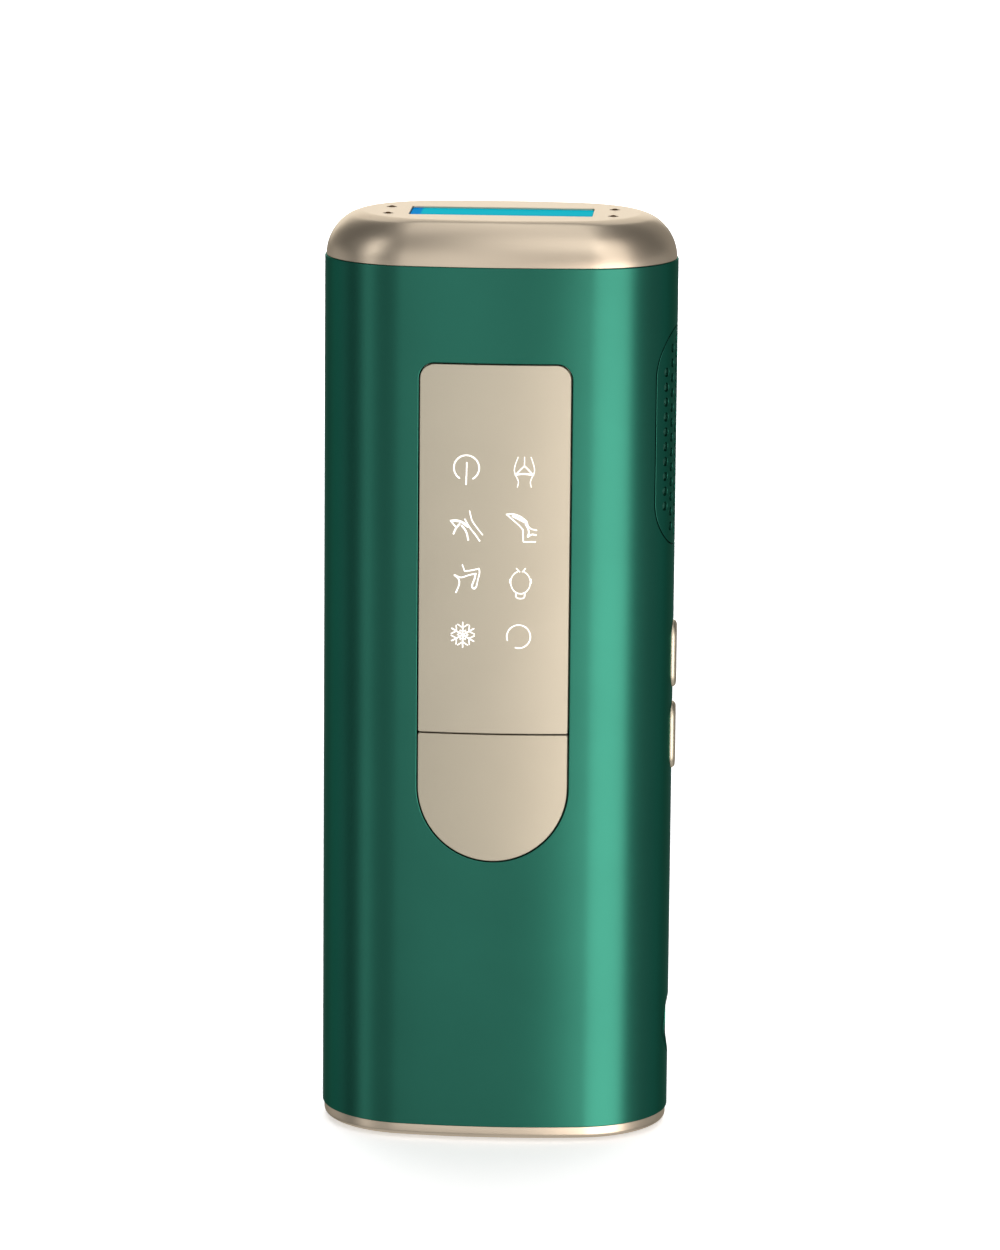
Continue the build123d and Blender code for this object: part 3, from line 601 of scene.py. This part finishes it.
def dish(draft, ring, turn):
    """The power inlet's dished recess, from the ring at its edge to the wall of its hole."""
    radial = np.column_stack([np.zeros_like(turn), np.cos(turn), np.sin(turn)])
    # radius, place along X, and the radial and outward parts of the normal
    steps = [
        (INLET_FLOOR + 0.6, INLET_MOUTH + 0.6 / INLET_SLOPE, (-0.85, 0.53)),
        (INLET_FLOOR + 0.12, INLET_MOUTH + 0.2, (-0.85, 0.53)),
        (INLET_FLOOR - 0.2, INLET_MOUTH, (0, 1)),
        (INLET_HOLE + 0.15, INLET_MOUTH, (0, 1)),
        (INLET_HOLE, INLET_MOUTH - 0.15, (-1, 0.2)),
        (INLET_HOLE, INLET_MOUTH - 0.75, (-1, 0)),
    ]
    for radius, x, (away, outwards) in steps:
        new_ring = draft.add(radial * radius + (x, 0, INLET_HEIGHT), radial * away + (outwards, 0, 0))
        draft.bridge(ring, new_ring)
        ring = new_ring
    return ring


def make_sleeve():
    """The lacquered tube, with its openings cut through and their edges rounded."""
    draft = Draft()
    recess, recess_angle = inlet_outline()
    holes = [loop[::-1] for loop in sleeve_openings() + [side_outline(recess)]]
    inwards = [inward_normals(loop) for loop in holes]
    rows = np.linspace(SLEEVE_LOW + LIP, SEAM - LIP, SLEEVE_ROWS)
    columns = np.linspace(0, BODY.length, SLEEVE_COLUMNS)
    frame_loop = np.concatenate([
        np.column_stack([columns, np.full(SLEEVE_COLUMNS, rows[0])]),
        np.column_stack([np.full(SLEEVE_ROWS - 2, BODY.length), rows[1:-1]]),
        np.column_stack([columns[::-1], np.full(SLEEVE_COLUMNS, rows[-1])]),
        np.column_stack([np.zeros(SLEEVE_ROWS - 2), rows[-2:0:-1]]),
    ])
    loops = [frame_loop] + [loop + inward * LIP for loop, inward in zip(holes, inwards)]
    flat, triangles, rings = fill(loops, (0.72, 3.0))
    # join the two ends of the sheet at the back
    far = {round(v, 2): i for i, (u, v) in enumerate(flat) if u > BODY.length - 1e-3}
    join = np.arange(len(flat))
    for i, (u, v) in enumerate(flat):
        if u < 1e-3:
            join[far[round(v, 2)]] = i
    upper, lower = plate(draft, body_wall, flat, join[triangles], 0, WALL)
    for loop, inward, ring in zip(holes[:-1], inwards[:-1], rings[1:-1]):
        rim(draft, body_wall, upper[ring], lower[ring], loop, inward, 0, WALL, LIP)
    top_start = SLEEVE_COLUMNS + SLEEVE_ROWS - 2
    for start, edge, up in ((0, SLEEVE_LOW, 1.0), (top_start, SEAM, -1.0)):
        ring = join[rings[0][start:start + SLEEVE_COLUMNS - 1]]
        loop = np.column_stack([flat[ring][:, 0], np.full(len(ring), edge)])
        inward = np.tile((0.0, up), (len(ring), 1))
        rim(draft, body_wall, upper[ring], lower[ring], loop, inward, 0, WALL, LIP)
    spot = holes[-1] + inwards[-1] * LIP * 0.3
    points, _, _, normal = body_wall(*spot.T)
    edge_ring = draft.add(points - normal * 0.05, normal)
    draft.bridge(upper[rings[-1]], edge_ring)
    draft.bridge(dish(draft, edge_ring, recess_angle[::-1]), lower[rings[-1]])
    return draft.build("green_sleeve", GREEN, "housing", "green_body", "sleeve")


# ---- front panel and button
def make_panel():
    """The fixed control panel: a flush skin and the flange behind the sleeve."""
    draft = Draft()
    low, top = SPLIT + GAP / 2 + SPLIT_CORNER, PANEL_HIGH - FLANGE - PANEL_CORNER
    lower_x, upper_x = PANEL_WIDTH / 2 - SPLIT_CORNER, PANEL_WIDTH / 2 - PANEL_CORNER
    outline = spaced(np.concatenate([
        arc_points((-lower_x, low), SPLIT_CORNER, 180, 270, 6),
        arc_points((lower_x, low), SPLIT_CORNER, 270, 360, 6),
        arc_points((upper_x, top), PANEL_CORNER, 0, 90, 14),
        arc_points((-upper_x, top), PANEL_CORNER, 90, 180, 14),
    ]))
    slab(draft, body_wall, front_outline(outline))
    flange_low = SPLIT + 0.4
    flange = rounded_box((0, (flange_low + PANEL_HIGH) / 2),
                         (PANEL_WIDTH + 2 * FLANGE, PANEL_HIGH - flange_low), PANEL_CORNER)
    slab(draft, body_wall, front_outline(flange), top=FLANGE_FRONT, bottom=3.2, lip=FINE_LIP,
         spacing=(2.0, 6.0))
    return draft.build("control_panel_skin", PANEL, "housing", "champagne_panel", "control_panel")


def make_button():
    """The half-round flash button below the split line."""
    draft = Draft()
    half = PANEL_WIDTH / 2
    skin = tongue(half, BUTTON_LOW + FLANGE, SPLIT - GAP / 2, SPLIT_CORNER, 48, 6)
    slab(draft, body_wall, front_outline(skin))
    flange = tongue(half + FLANGE, BUTTON_LOW, BUTTON_HIGH, 0.5, 40, 4)
    slab(draft, body_wall, front_outline(flange), top=FLANGE_FRONT, bottom=3.1, lip=FINE_LIP,
         spacing=(2.0, 6.0))
    return draft.build("flash_button_skin", BUTTON, "flash_button", "champagne_button", "flash_button")


# ---- vent and side keys
def make_vent():
    """The flush perforated insert on the right side, with a dark sheet just inside its holes as painted
    shade.
    """
    draft, shade_sheet = Draft(), Draft()
    holes = []
    for column, count in enumerate(VENT_COLUMNS):
        y = (column - (len(VENT_COLUMNS) - 1) / 2) * VENT_COLUMN_STEP
        for row in range(count):
            z = VENT_CENTRE + (row - (count - 1) / 2) * VENT_PITCH
            holes.append(side_outline(circle((y, z), VENT_HOLE, 16)))
            # each disc is painted shade at the bottom of its hole
            disc = side_outline(circle((y, z), VENT_HOLE + SHADE_SHEET_OVERLAP, 16))
            slab(shade_sheet, body_wall, disc, top=SHADE_SHEET_DEPTH, bottom=SHADE_SHEET_DEPTH + SHADE_SHEET_THICKNESS,
                 lip=0.02, spacing=(0.5, 0.5))
    outline = side_outline(rounded_box((0, VENT_CENTRE), VENT_SIZE, VENT_CORNER, 24))
    slab(draft, body_wall, outline, holes, lip=0.08, spacing=(0.8, 0.8))
    shade_sheet.build("vent_hole_shade_sheet", VENT_SHADE, "housing", "green_body")
    return draft.build("vent_insert", GREEN, "housing", "green_body", "vent_grille")


def make_key(node):
    """A proud pill key with a rounded face and a retaining flange."""
    draft = Draft()
    centre = (0.0, node_middle(node, 2))
    face = plane((KEY_FACE, 0, 0), (0, 1, 0), (0, 0, 1))
    front, back = KEY_FLANGE_DEPTHS
    pill = rounded_box(centre, KEY_SIZE, KEY_SIZE[0] / 2 - END_SHORTFALL, 24)
    slab(draft, face, pill, bottom=front, lip=0.8, spacing=(0.8, 0.8))
    flange_size = (KEY_SIZE[0] + 2 * KEY_FLANGE, KEY_SIZE[1] + 2 * KEY_FLANGE)
    flange = rounded_box(centre, flange_size, flange_size[0] / 2 - END_SHORTFALL, 16)
    slab(draft, face, flange, top=front, bottom=back, lip=FINE_LIP, spacing=(1.5, 1.5))
    return draft.build(node + "_cap", BUTTON, node, "champagne_button", node)


# ---- treatment head
HEAD_WIDTH = BODY_WIDTH - 0.5
HEAD_DEPTH = BODY_DEPTH - 0.5
HEAD_HEIGHT = HEAD_TOP - SEAM
SIDE_INSET = 5.8
FACE_INSET = 2.7
HEAD_TAPER = 0.9             # how much less than half the depth the head's side radius is
EDGE_DROP = 0.75             # how far the soft edge of the flat top reaches down
TOP_THICKNESS = 1.6
TOP_LIP = 0.12               # rounding of the edges of the window and its opening
SKIRT_OUTSIDE = 2.1          # insets and depth of the skirt inside the sleeve
SKIRT_INSIDE = 3.6
SKIRT_DEPTH = 5.0
SENSOR_HOLE = 0.9            # radii
SENSOR_COLLAR = 0.75


def domed_inset(inset, height):
    """How far a wall that starts upright and curves in has moved at a height."""
    radius = (HEAD_HEIGHT**2 + inset**2) / (2 * inset)
    return radius - math.sqrt(max(0.0, radius**2 - height**2))


def head_ring(side, face, z):
    """A ring of the head, inset at its sides and faces, at a height."""
    width, depth = HEAD_WIDTH - 2 * side, HEAD_DEPTH - 2 * face
    points = Oval(width, depth, depth / 2 - HEAD_TAPER).ring()
    return np.column_stack([points, np.full(len(points), z)])


def head_profile():
    """Side inset, face inset and height from the flat top down to the seam."""
    start = HEAD_HEIGHT - EDGE_DROP
    before = (domed_inset(SIDE_INSET, start), domed_inset(FACE_INSET, start), start)
    crease = (SIDE_INSET, FACE_INSET, HEAD_HEIGHT)
    after = (SIDE_INSET + 0.9, FACE_INSET + 0.8, HEAD_HEIGHT)
    corners = np.array([after, crease, before])
    shares = np.linspace(0, 1, 11)
    weights = np.stack([(1 - shares) ** 2, 2 * shares * (1 - shares), shares**2], 1)
    rows = (weights @ corners).tolist()
    for height in np.linspace(start, 0.1, 25)[1:]:
        rows.append((domed_inset(SIDE_INSET, height), domed_inset(FACE_INSET, height), height))
    return rows


def make_head():
    """The champagne head: a domed cap with the window opening and the sensor holes."""
    draft = Draft()
    surface = plane((0, 0, HEAD_TOP), (1, 0, 0), (0, 1, 0))
    profile = head_profile()
    outline = head_ring(profile[0][0], profile[0][1], 0)[:, :2]
    window = rounded_box((0, WINDOW_CENTRE), (32.0, 11.6), 0.6)
    holes = [window[::-1]] + [circle(spot, SENSOR_HOLE, 20)[::-1] for spot in sensor_spots()]
    inwards = [inward_normals(loop) for loop in holes]
    loops = [outline] + [loop + inward * TOP_LIP for loop, inward in zip(holes, inwards)]
    flat, triangles, rings = fill(loops, (1.2, 1.2))
    upper, lower = plate(draft, surface, flat, triangles, 0, TOP_THICKNESS)
    for loop, inward, ring in zip(holes, inwards, rings[1:]):
        rim(draft, surface, upper[ring], lower[ring], loop, inward, 0, TOP_THICKNESS, TOP_LIP)
    dome = draft.rings([head_ring(side, face, SEAM + height) for side, face, height in profile])
    draft.bridge(upper[rings[0]], dome[0])
    # seam face, skirt inside the sleeve, and the inner wall back up to the flat top
    skirt = [(0.1, 0.0), (SKIRT_OUTSIDE - 0.1, 0.0), (SKIRT_OUTSIDE, -0.1), (SKIRT_OUTSIDE, -SKIRT_DEPTH),
             (SKIRT_INSIDE, -SKIRT_DEPTH), (SKIRT_INSIDE, 0.0)]
    inner = [(inset, inset, height) for inset, height in skirt]
    for height in (2.0, 4.0, 5.6, 6.1):
        side, face = domed_inset(SIDE_INSET, height), domed_inset(FACE_INSET, height)
        inner.append((side + SKIRT_INSIDE, face + 2.4, height))
    wall = draft.rings([head_ring(side, face, SEAM + height) for side, face, height in inner])
    draft.bridge(dome[-1], wall[0])
    draft.bridge(wall[-1], lower[rings[0]])
    return draft.build("treatment_head_cap", CHAMPAGNE, "housing", "champagne_head", "treatment_head")


def sensor_spots():
    """Places of the four sensor pins in the head's flat top."""
    low, high = node_box("skin_sensor_pins")
    columns, rows = ((low[i] + SENSOR_COLLAR, high[i] - SENSOR_COLLAR) for i in range(2))
    return [(x, y) for x in columns for y in rows]


def make_window():
    """The treatment window: a proud plateau on a wider flange."""
    draft = Draft()
    surface = plane((0, 0, WINDOW_TOP), (1, 0, 0), (0, 1, 0))
    plateau = rounded_box((0, WINDOW_CENTRE), (31.8, 11.4), 0.5)
    slab(draft, surface, plateau, bottom=1.35, lip=TOP_LIP, spacing=(2.0, 2.0))
    flange = rounded_box((0, WINDOW_CENTRE), (35.0, 15.0), 1.0)
    slab(draft, surface, flange, top=1.3, bottom=2.5, lip=FINE_LIP, spacing=(3.0, 3.0))
    return draft.build("treatment_window", WINDOW, "housing", "treatment_glass", "sapphire_window")


def make_sensor_pins():
    """Four small domed contacts, each a collar with a round nose, dark brown partly as painted shade."""
    draft = Draft()
    low, high = (corner[2] for corner in node_box("skin_sensor_pins"))
    nose = [(0.02, 0.0), (0.22, 0.02), (0.40, 0.08), (0.53, 0.2), (0.58, 0.35), (0.60, 0.9)]
    profile = [(radius, high - depth) for radius, depth in nose]
    profile += [(SENSOR_COLLAR, high - 0.95), (SENSOR_COLLAR, low + 0.02), (0.02, low)]
    angle = np.linspace(0, 2 * math.pi, 24, endpoint=False)
    round_points = np.stack([np.cos(angle), np.sin(angle)], 1)
    for spot in sensor_spots():
        rows = draft.rings([
            np.column_stack([round_points * radius + spot, np.full(len(angle), z)]) for radius, z in profile
        ])
        draft.faces.append(rows[0].tolist())
        draft.faces.append(rows[-1][::-1].tolist())
    return draft.build("sensor_contacts", BRONZE_AND_SHADE, "housing", "champagne_pin", "skin_sensor_pins")


# ---- base
BASE_INSET = 0.3
BASE_ROUND = 0.9             # rounding of the bottom edge
FLOOR_THICKNESS = 1.8
FLOOR_LIP = 0.15             # rounding of the edges of slots and foot pockets
FOOT_RADIUS = 3.5
POCKET_RADIUS = 3.6
SLOT_SIZE = (1.8, 14.0)
SLOT_STEP = 3.4


def base_ring(extra, z):
    """A ring of the base, further in than its widest part, at a height."""
    inset = BASE_INSET + extra
    points = Oval(BODY_WIDTH - 2 * inset, BODY_DEPTH - 2 * inset, SIDE_RADIUS - inset).ring()
    return np.column_stack([points, np.full(len(points), z)])


def make_base():
    """The champagne base ring and floor, with intake slots and pockets for the feet."""
    draft = Draft()
    low, high = BASE_LOW, SLEEVE_LOW
    foot_x, foot_y = node_box("rubber_feet")[1][:2] - FOOT_RADIUS
    # seen from below, the floor's right-hand axis is -X
    floor = plane((0, 0, low), (-1, 0, 0), (0, 1, 0))
    slot_corner = SLOT_SIZE[0] / 2 - END_SHORTFALL
    slots = [rounded_box((SLOT_STEP * i, 0), SLOT_SIZE, slot_corner) for i in range(-4, 5)]
    pockets = [circle((sx * foot_x, sy * foot_y), POCKET_RADIUS, 48) for sx in (-1, 1) for sy in (-1, 1)]
    holes = [loop[::-1] for loop in slots + pockets]
    inwards = [inward_normals(loop) for loop in holes]
    outline = (base_ring(BASE_ROUND, 0)[:, :2] * (-1, 1))[::-1]
    loops = [outline] + [loop + inward * FLOOR_LIP for loop, inward in zip(holes, inwards)]
    flat, triangles, rings = fill(loops, (1.5, 1.5))
    outer, inner = plate(draft, floor, flat, triangles, 0, FLOOR_THICKNESS)
    for loop, inward, ring in zip(holes, inwards, rings[1:]):
        rim(draft, floor, outer[ring], inner[ring], loop, inward, 0, FLOOR_THICKNESS, FLOOR_LIP)
    # round bottom edge, seam face, skirt inside the sleeve, and the inner wall down to the floor
    turns = np.radians(np.linspace(0, 90, 10))
    rows = [(BASE_ROUND * (1 - math.sin(t)), low + BASE_ROUND * (1 - math.cos(t))) for t in turns]
    rows += [(0.0, high - 0.12), (0.1, high), (1.9, high), (2.05, high + 0.1), (2.05, high + 4.0)]
    rows += [(3.7, high + 4.0), (3.7, high + 0.2), (3.7, low + FLOOR_THICKNESS + 0.1)]
    wall = draft.rings([base_ring(extra, z)[::-1] for extra, z in rows])
    draft.bridge(outer[rings[0]], wall[0])
    draft.bridge(wall[-1], inner[rings[0]])
    return draft.build("base_ring", CHAMPAGNE, "housing", "champagne_head", "base_cover")


# ---- lit icons
ICON_ROWS = (0.0, 9.9, 19.6, 29.2)    # how far each row of symbols is below the first
LED_HALF = (1.0, 0.625)      # half of an LED's width and height
STROKE_SCALE = 0.74
STROKE_HEIGHT = 0.03         # how far a symbol stands out of the panel, and reaches into it


def stroke(draft, centre, points, width):
    """A thin raised line on the panel through given points, rounded between them."""
    path = np.array(points, float)
    if len(path) > 2:
        path = smooth(path)
    along = np.gradient(path, axis=0)
    along /= np.linalg.norm(along, axis=1, keepdims=True)
    side = np.column_stack([-along[:, 1], along[:, 0]]) * width / 2
    # each end reaches a little past the path, at half the width
    start, end = path[0] - along[0] * width * 0.3, path[-1] + along[-1] * width * 0.3
    left = np.concatenate([[start + side[0] * 0.5], path + side, [end + side[-1] * 0.5]])
    right = np.concatenate([[start - side[0] * 0.5], path - side, [end - side[-1] * 0.5]])
    loops = []
    for depth in (-STROKE_HEIGHT, STROKE_HEIGHT):
        for edge in (left, right):
            u, v = front_outline(edge + centre).T
            spots, _, _, normal = body_wall(u, v)
            loops.append(draft.add(spots - normal * depth, normal))
    upper_left, upper_right, lower_left, lower_right = loops
    loops = [upper_left, upper_right, lower_right, lower_left]
    for first, second in zip(loops, loops[1:] + loops[:1]):
        draft.bridge(first, second, closed=False)
    for end in (0, -1):
        draft.faces.append([loop[end] for loop in loops])


def smooth(points, steps=4):
    """Catmull-Rom curve through the points."""
    padded = np.concatenate([[2 * points[0] - points[1]], points, [2 * points[-1] - points[-2]]])
    result = []
    for a, b, c, d in zip(padded, padded[1:], padded[2:], padded[3:]):
        for t in np.arange(steps) / steps:
            result.append(0.5 * (2 * b + (c - a) * t + (2 * a - 5 * b + 4 * c - d) * t**2
                                 + (3 * b - a - 3 * c + d) * t**3))
    return np.array(result + [points[-1]])


def mirrored(points, middle=0.0):
    """The same points, mirrored left to right."""
    return [(2 * middle - x, z) for x, z in points]


def make_icons():
    """Eight generic symbols: power, body areas, cooling and progress ring."""
    draft = Draft()
    left, right = LED_LOW[0] + LED_HALF[0], LED_HIGH[0] - LED_HALF[0]
    first, last = LED_HIGH[2] - LED_HALF[1], LED_LOW[2] + LED_HALF[1]
    rows = [first + (last - first) * down / ICON_ROWS[-1] for down in ICON_ROWS]

    def draw(column, row, *strokes):
        for points, width in strokes:
            stroke(draft, (column, rows[row]), points, width * STROKE_SCALE)

    # power
    draw(left, 0, (arc_points((0, 0.35), 2.2, -60, 237, 40), 0.38),
         ([(0.05, 1.3), (0.0, -0.7), (-0.05, -2.6)], 0.34))
    # bikini line
    hip = [(-0.85, 2.4), (-1.35, 1.0), (-1.5, 0.0), (-1.25, -0.8), (-0.8, -1.9), (-0.95, -2.9)]
    draw(right, 0, (hip, 0.24), (mirrored(hip, 0.25), 0.24), ([(0.25, 2.4), (0.25, 0.7)], 0.24),
         ([(0.25, 0.85), (-0.5, 0.1), (-1.2, -0.65)], 0.34),
         ([(0.25, 0.85), (1.0, 0.1), (1.7, -0.65)], 0.34),
         ([(-1.35, -0.75), (0.25, -0.55), (1.85, -0.75)], 0.42))
    # underarm
    draw(left, 1, ([(0.6, 2.7), (1.0, 1.1), (1.85, -0.2), (2.9, -1.5)], 0.3),
         ([(-0.25, 1.25), (0.6, -0.2), (1.6, -1.45), (2.4, -2.6)], 0.34),
         ([(-2.7, 0.85), (-1.6, 0.9), (-0.6, 0.6), (0.3, -0.1)], 0.55),
         ([(-2.2, -1.45), (-1.8, -0.5), (-1.1, 0.4)], 0.42), ([(-2.6, 0.75), (-1.9, -0.1)], 0.34),
         ([(-0.8, 0.1), (0.0, -0.95), (0.4, -2.5)], 0.42))
    # lower leg
    draw(right, 1, ([(-2.8, 2.2), (-1.6, 2.25), (-0.4, 1.85), (0.7, 1.0)], 0.36),
         ([(0.7, 1.0), (1.0, 0.15), (1.6, -0.35), (2.5, -0.55)], 0.32),
         ([(-2.8, 2.2), (-1.85, 1.4), (-0.6, 0.3), (0.1, -0.5)], 0.32),
         ([(0.1, -0.5), (0.15, -2.55)], 0.32), ([(0.15, -2.6), (2.3, -2.6)], 0.32),
         ([(-1.7, 1.95), (-0.6, 1.4), (0.4, 0.9)], 0.6), ([(0.5, 0.6), (1.1, -0.7), (0.9, -1.75)], 0.36),
         ([(0.9, -1.75), (1.6, -1.3), (2.4, -1.4)], 0.4))
    # arm
    draw(left, 2, ([(-0.6, 2.85), (-0.2, 1.75)], 0.3), ([(-0.2, 1.75), (1.0, 1.9), (2.3, 2.25)], 0.32),
         ([(2.3, 2.25), (2.4, 1.5), (2.15, 0.3), (1.85, -0.95)], 0.32),
         ([(1.75, 1.35), (1.5, 0.3), (1.1, -0.9), (1.5, -1.35), (1.85, -0.95)], 0.4),
         ([(1.75, 1.35), (0.4, 1.0), (-0.85, 0.6), (-1.9, 1.0)], 0.34),
         ([(-2.0, 1.0), (-1.25, 0.3), (-1.15, -0.7), (-1.7, -2.1)], 0.36))
    # face
    face = np.array([-0.25, -0.1])
    draw(right, 2, (face + [1.0, 1.0] * (arc_points((0, 0), 1.0, 110, 430, 40) * [1.7, 2.0]), 0.28),
         ([(-1.0, 2.4), (-0.4, 1.75)], 0.28), ([(0.6, 2.4), (0.05, 1.75)], 0.28),
         ([(-1.0, -1.9), (-0.95, -2.75), (-0.25, -2.95), (0.4, -2.75), (0.5, -1.9)], 0.32),
         ([(-2.0, 0.5), (-2.05, -0.2)], 0.45), ([(1.5, 0.5), (1.55, -0.2)], 0.45))
    # snowflake
    flake = np.array([-0.45, 0.05])
    for arm in range(6):
        turn = math.radians(30 + 60 * arm)
        out = np.array([math.cos(turn), math.sin(turn)])
        across = np.array([-out[1], out[0]])
        draw(left, 3, ([flake + out * 0.1, flake + out * 2.25], 0.34))
        for side in (-1, 1):
            draw(left, 3, ([flake + out * 1.25, flake + out * 1.85 + across * side * 0.9], 0.28),
                 ([flake + out * 0.5, flake + out * 0.85 + across * side * 0.45], 0.2))
    # progress ring
    draw(right, 3, (arc_points((-0.5, -0.1), 2.05, -107, 200, 44), 0.32))
    return draft.build("panel_icons", ICON, "housing", "white_plastic")


# ---- studio
def area_light(name, place, aim, size, power, colour=(1, 1, 1)):
    """A soft rectangular light that the camera doesn't see."""
    light = bpy.data.lights.new(name, "AREA")
    light.shape = "RECTANGLE"
    light.size, light.size_y = size
    light.energy = power
    light.color = colour
    lamp = bpy.data.objects.new(name, light)
    lamp.location = place
    lamp.rotation_euler = (Vector(aim) - Vector(place)).to_track_quat("-Z", "Y").to_euler()
    lamp.visible_camera = False
    bpy.context.scene.collection.objects.link(lamp)
    return lamp


def around(azimuth, distance, height):
    """A place round the object: azimuth 0 is straight in front, positive towards the right side."""
    turn = math.radians(azimuth)
    return distance * math.sin(turn), -distance * math.cos(turn), height


def aim_only(lamp, pieces, state):
    """Let a light fall only on these pieces (INCLUDE), or on everything else (EXCLUDE)."""
    group = bpy.data.collections.new(lamp.name + "_pieces")
    for piece in pieces:
        group.objects.link(piece)
    for member in group.collection_objects:
        member.light_linking.link_state = state
    lamp.light_linking.receiver_collection = group


def make_floor():
    """A pale floor that glows more further out."""
    bpy.ops.mesh.primitive_circle_add(vertices=96, radius=8.0, fill_type="NGON")
    floor = bpy.context.object
    floor.name = "floor"
    material = finish_of("pale_floor", (0.93, 0.93, 0.93), 0.9, shade=0.005, patch=3.0, bump=0.0)
    nodes, links = material.node_tree.nodes, material.node_tree.links
    shader = nodes["Principled BSDF"]
    shader.inputs["Emission Color"].default_value = (1, 1, 1, 1)
    reach = nodes.new("ShaderNodeVectorMath")
    reach.operation = "LENGTH"
    links.new(nodes.new("ShaderNodeTexCoord").outputs["Object"], reach.inputs[0])
    glow = ease(nodes, links, reach.outputs["Value"], 0.42, 0.95, (0.3, 1.8))
    links.new(glow, shader.inputs["Emission Strength"])
    floor.data.materials.append(material)
    floor.visible_glossy = False
    floor.visible_shadow = False


def make_surround():
    """White where it's seen directly, and dim where it lights or is reflected, less so behind and below."""
    world = bpy.data.worlds.new("surround")
    bpy.context.scene.world = world
    world.use_nodes = True
    nodes, links = world.node_tree.nodes, world.node_tree.links
    background = nodes["Background"]
    split = nodes.new("ShaderNodeSeparateXYZ")
    links.new(nodes.new("ShaderNodeTexCoord").outputs["Generated"], split.inputs["Vector"])
    behind = ease(nodes, links, split.outputs["Y"], 0.13, 0.36, (0.4, 0.9))
    below = ease(nodes, links, split.outputs["Z"], 0.0, 0.45, (-0.45, -0.8))
    reflected = nodes.new("ShaderNodeMath")
    links.new(behind, reflected.inputs[0])
    links.new(below, reflected.inputs[1])
    level = nodes.new("ShaderNodeMapRange")
    level.inputs["To Max"].default_value = 1.0
    links.new(nodes.new("ShaderNodeLightPath").outputs["Is Camera Ray"], level.inputs["Value"])
    links.new(reflected.outputs["Value"], level.inputs["To Min"])
    links.new(level.outputs["Result"], background.inputs["Strength"])
    background.inputs["Color"].default_value = (1, 1, 1, 1)


def make_lights(flat_pieces):
    """Soft lights all round. The flat pieces get a weaker right-hand strip than the rest."""
    low, middle, warm = (0, 0, -0.05), (0, 0, 0.085), (1, 0.94, 0.91)
    strip = area_light("right_strip", around(39, 0.45, -0.05), low, (0.41, 0.40), 1.7, warm)
    aim_only(strip, flat_pieces, "EXCLUDE")
    strip = area_light("flat_strip", around(17, 0.45, -0.05), low, (0.13, 0.40), 0.39, warm)
    aim_only(strip, flat_pieces, "INCLUDE")
    area_light("left_side", around(-63, 0.8, 0.0), (0, 0, 0), (0.2, 0.8), 0.5)
    area_light("left_gap", around(-40, 0.9, -0.13), (0, 0, -0.13), (0.5, 0.45), 0.2)
    area_light("right_gap", around(72, 0.9, -0.1), (0, 0, -0.1), (0.4, 0.6), 0.22)
    area_light("left_high", around(-60, 0.8, 0.50), middle, (0.3, 0.35), 0.45)
    area_light("front_fill", around(-11, 1.4, 0.085), middle, (0.65, 1.1), 2.1)
    area_light("left_back", around(-112, 0.9, -0.05), middle, (0.6, 0.6), 0.35)
    area_light("right_back", around(105, 0.9, -0.05), middle, (0.7, 0.6), 0.3)
    area_light("back_low", (-0.25, 1.6, 0.45), middle, (1.3, 0.6), 3.3)
    area_light("back_high", (-0.15, 1.3, 1.5), middle, (1.5, 1.5), 5.0)
    area_light("front_overhead", (0.0, -0.6, 2.3), middle, (1.7, 2.0), 10.5)
    area_light("right_glow", around(44, 0.55, 0.37), middle, (0.40, 0.42), 0.62, (1, 0.96, 0.93))
    area_light("front_high", (0.35, -1.6, 1.2), middle, (1.3, 0.9), 4.2)
    floor_light = area_light("back_overhead", (0, 1.5, 2.3), (0, 0.6, 0), (3.0, 2.0), 50.0)
    floor_light.visible_glossy = False


def make_camera():
    """A long lens, a little above and to the right of the front."""
    camera_data = bpy.data.cameras.new("camera")
    camera = bpy.data.objects.new("camera", camera_data)
    bpy.context.scene.collection.objects.link(camera)
    azimuth, pitch, roll = math.radians(2.89), math.radians(11.18), math.radians(0.5)
    distance, height, aside = 0.999, 0.2874, 0.00024
    right = Vector((math.cos(azimuth), math.sin(azimuth), 0))
    back = Vector((math.sin(azimuth), -math.cos(azimuth), 0))
    camera.location = right * aside + back * distance + Vector((0, 0, height))
    forward = -back * math.cos(pitch) - Vector((0, 0, math.sin(pitch)))
    camera.rotation_mode = "QUATERNION"
    camera.rotation_quaternion = forward.to_track_quat("-Z", "Y") @ Quaternion((0, 0, 1), roll)
    camera_data.sensor_width = 36.0
    camera_data.lens = 165.3696
    camera_data.clip_start = 0.05
    camera_data.clip_end = 30.0
    bpy.context.scene.camera = camera


make_camera()
finish_cad_nodes()
make_sleeve()
panel_and_button = [make_panel(), make_button()]
make_vent()
make_key("side_key_upper")
make_key("side_key_lower")
make_head()
make_window()
make_sensor_pins()
make_base()
make_icons()
make_floor()
make_surround()
make_lights(panel_and_button)
bpy.context.scene.view_settings.view_transform = "Standard"
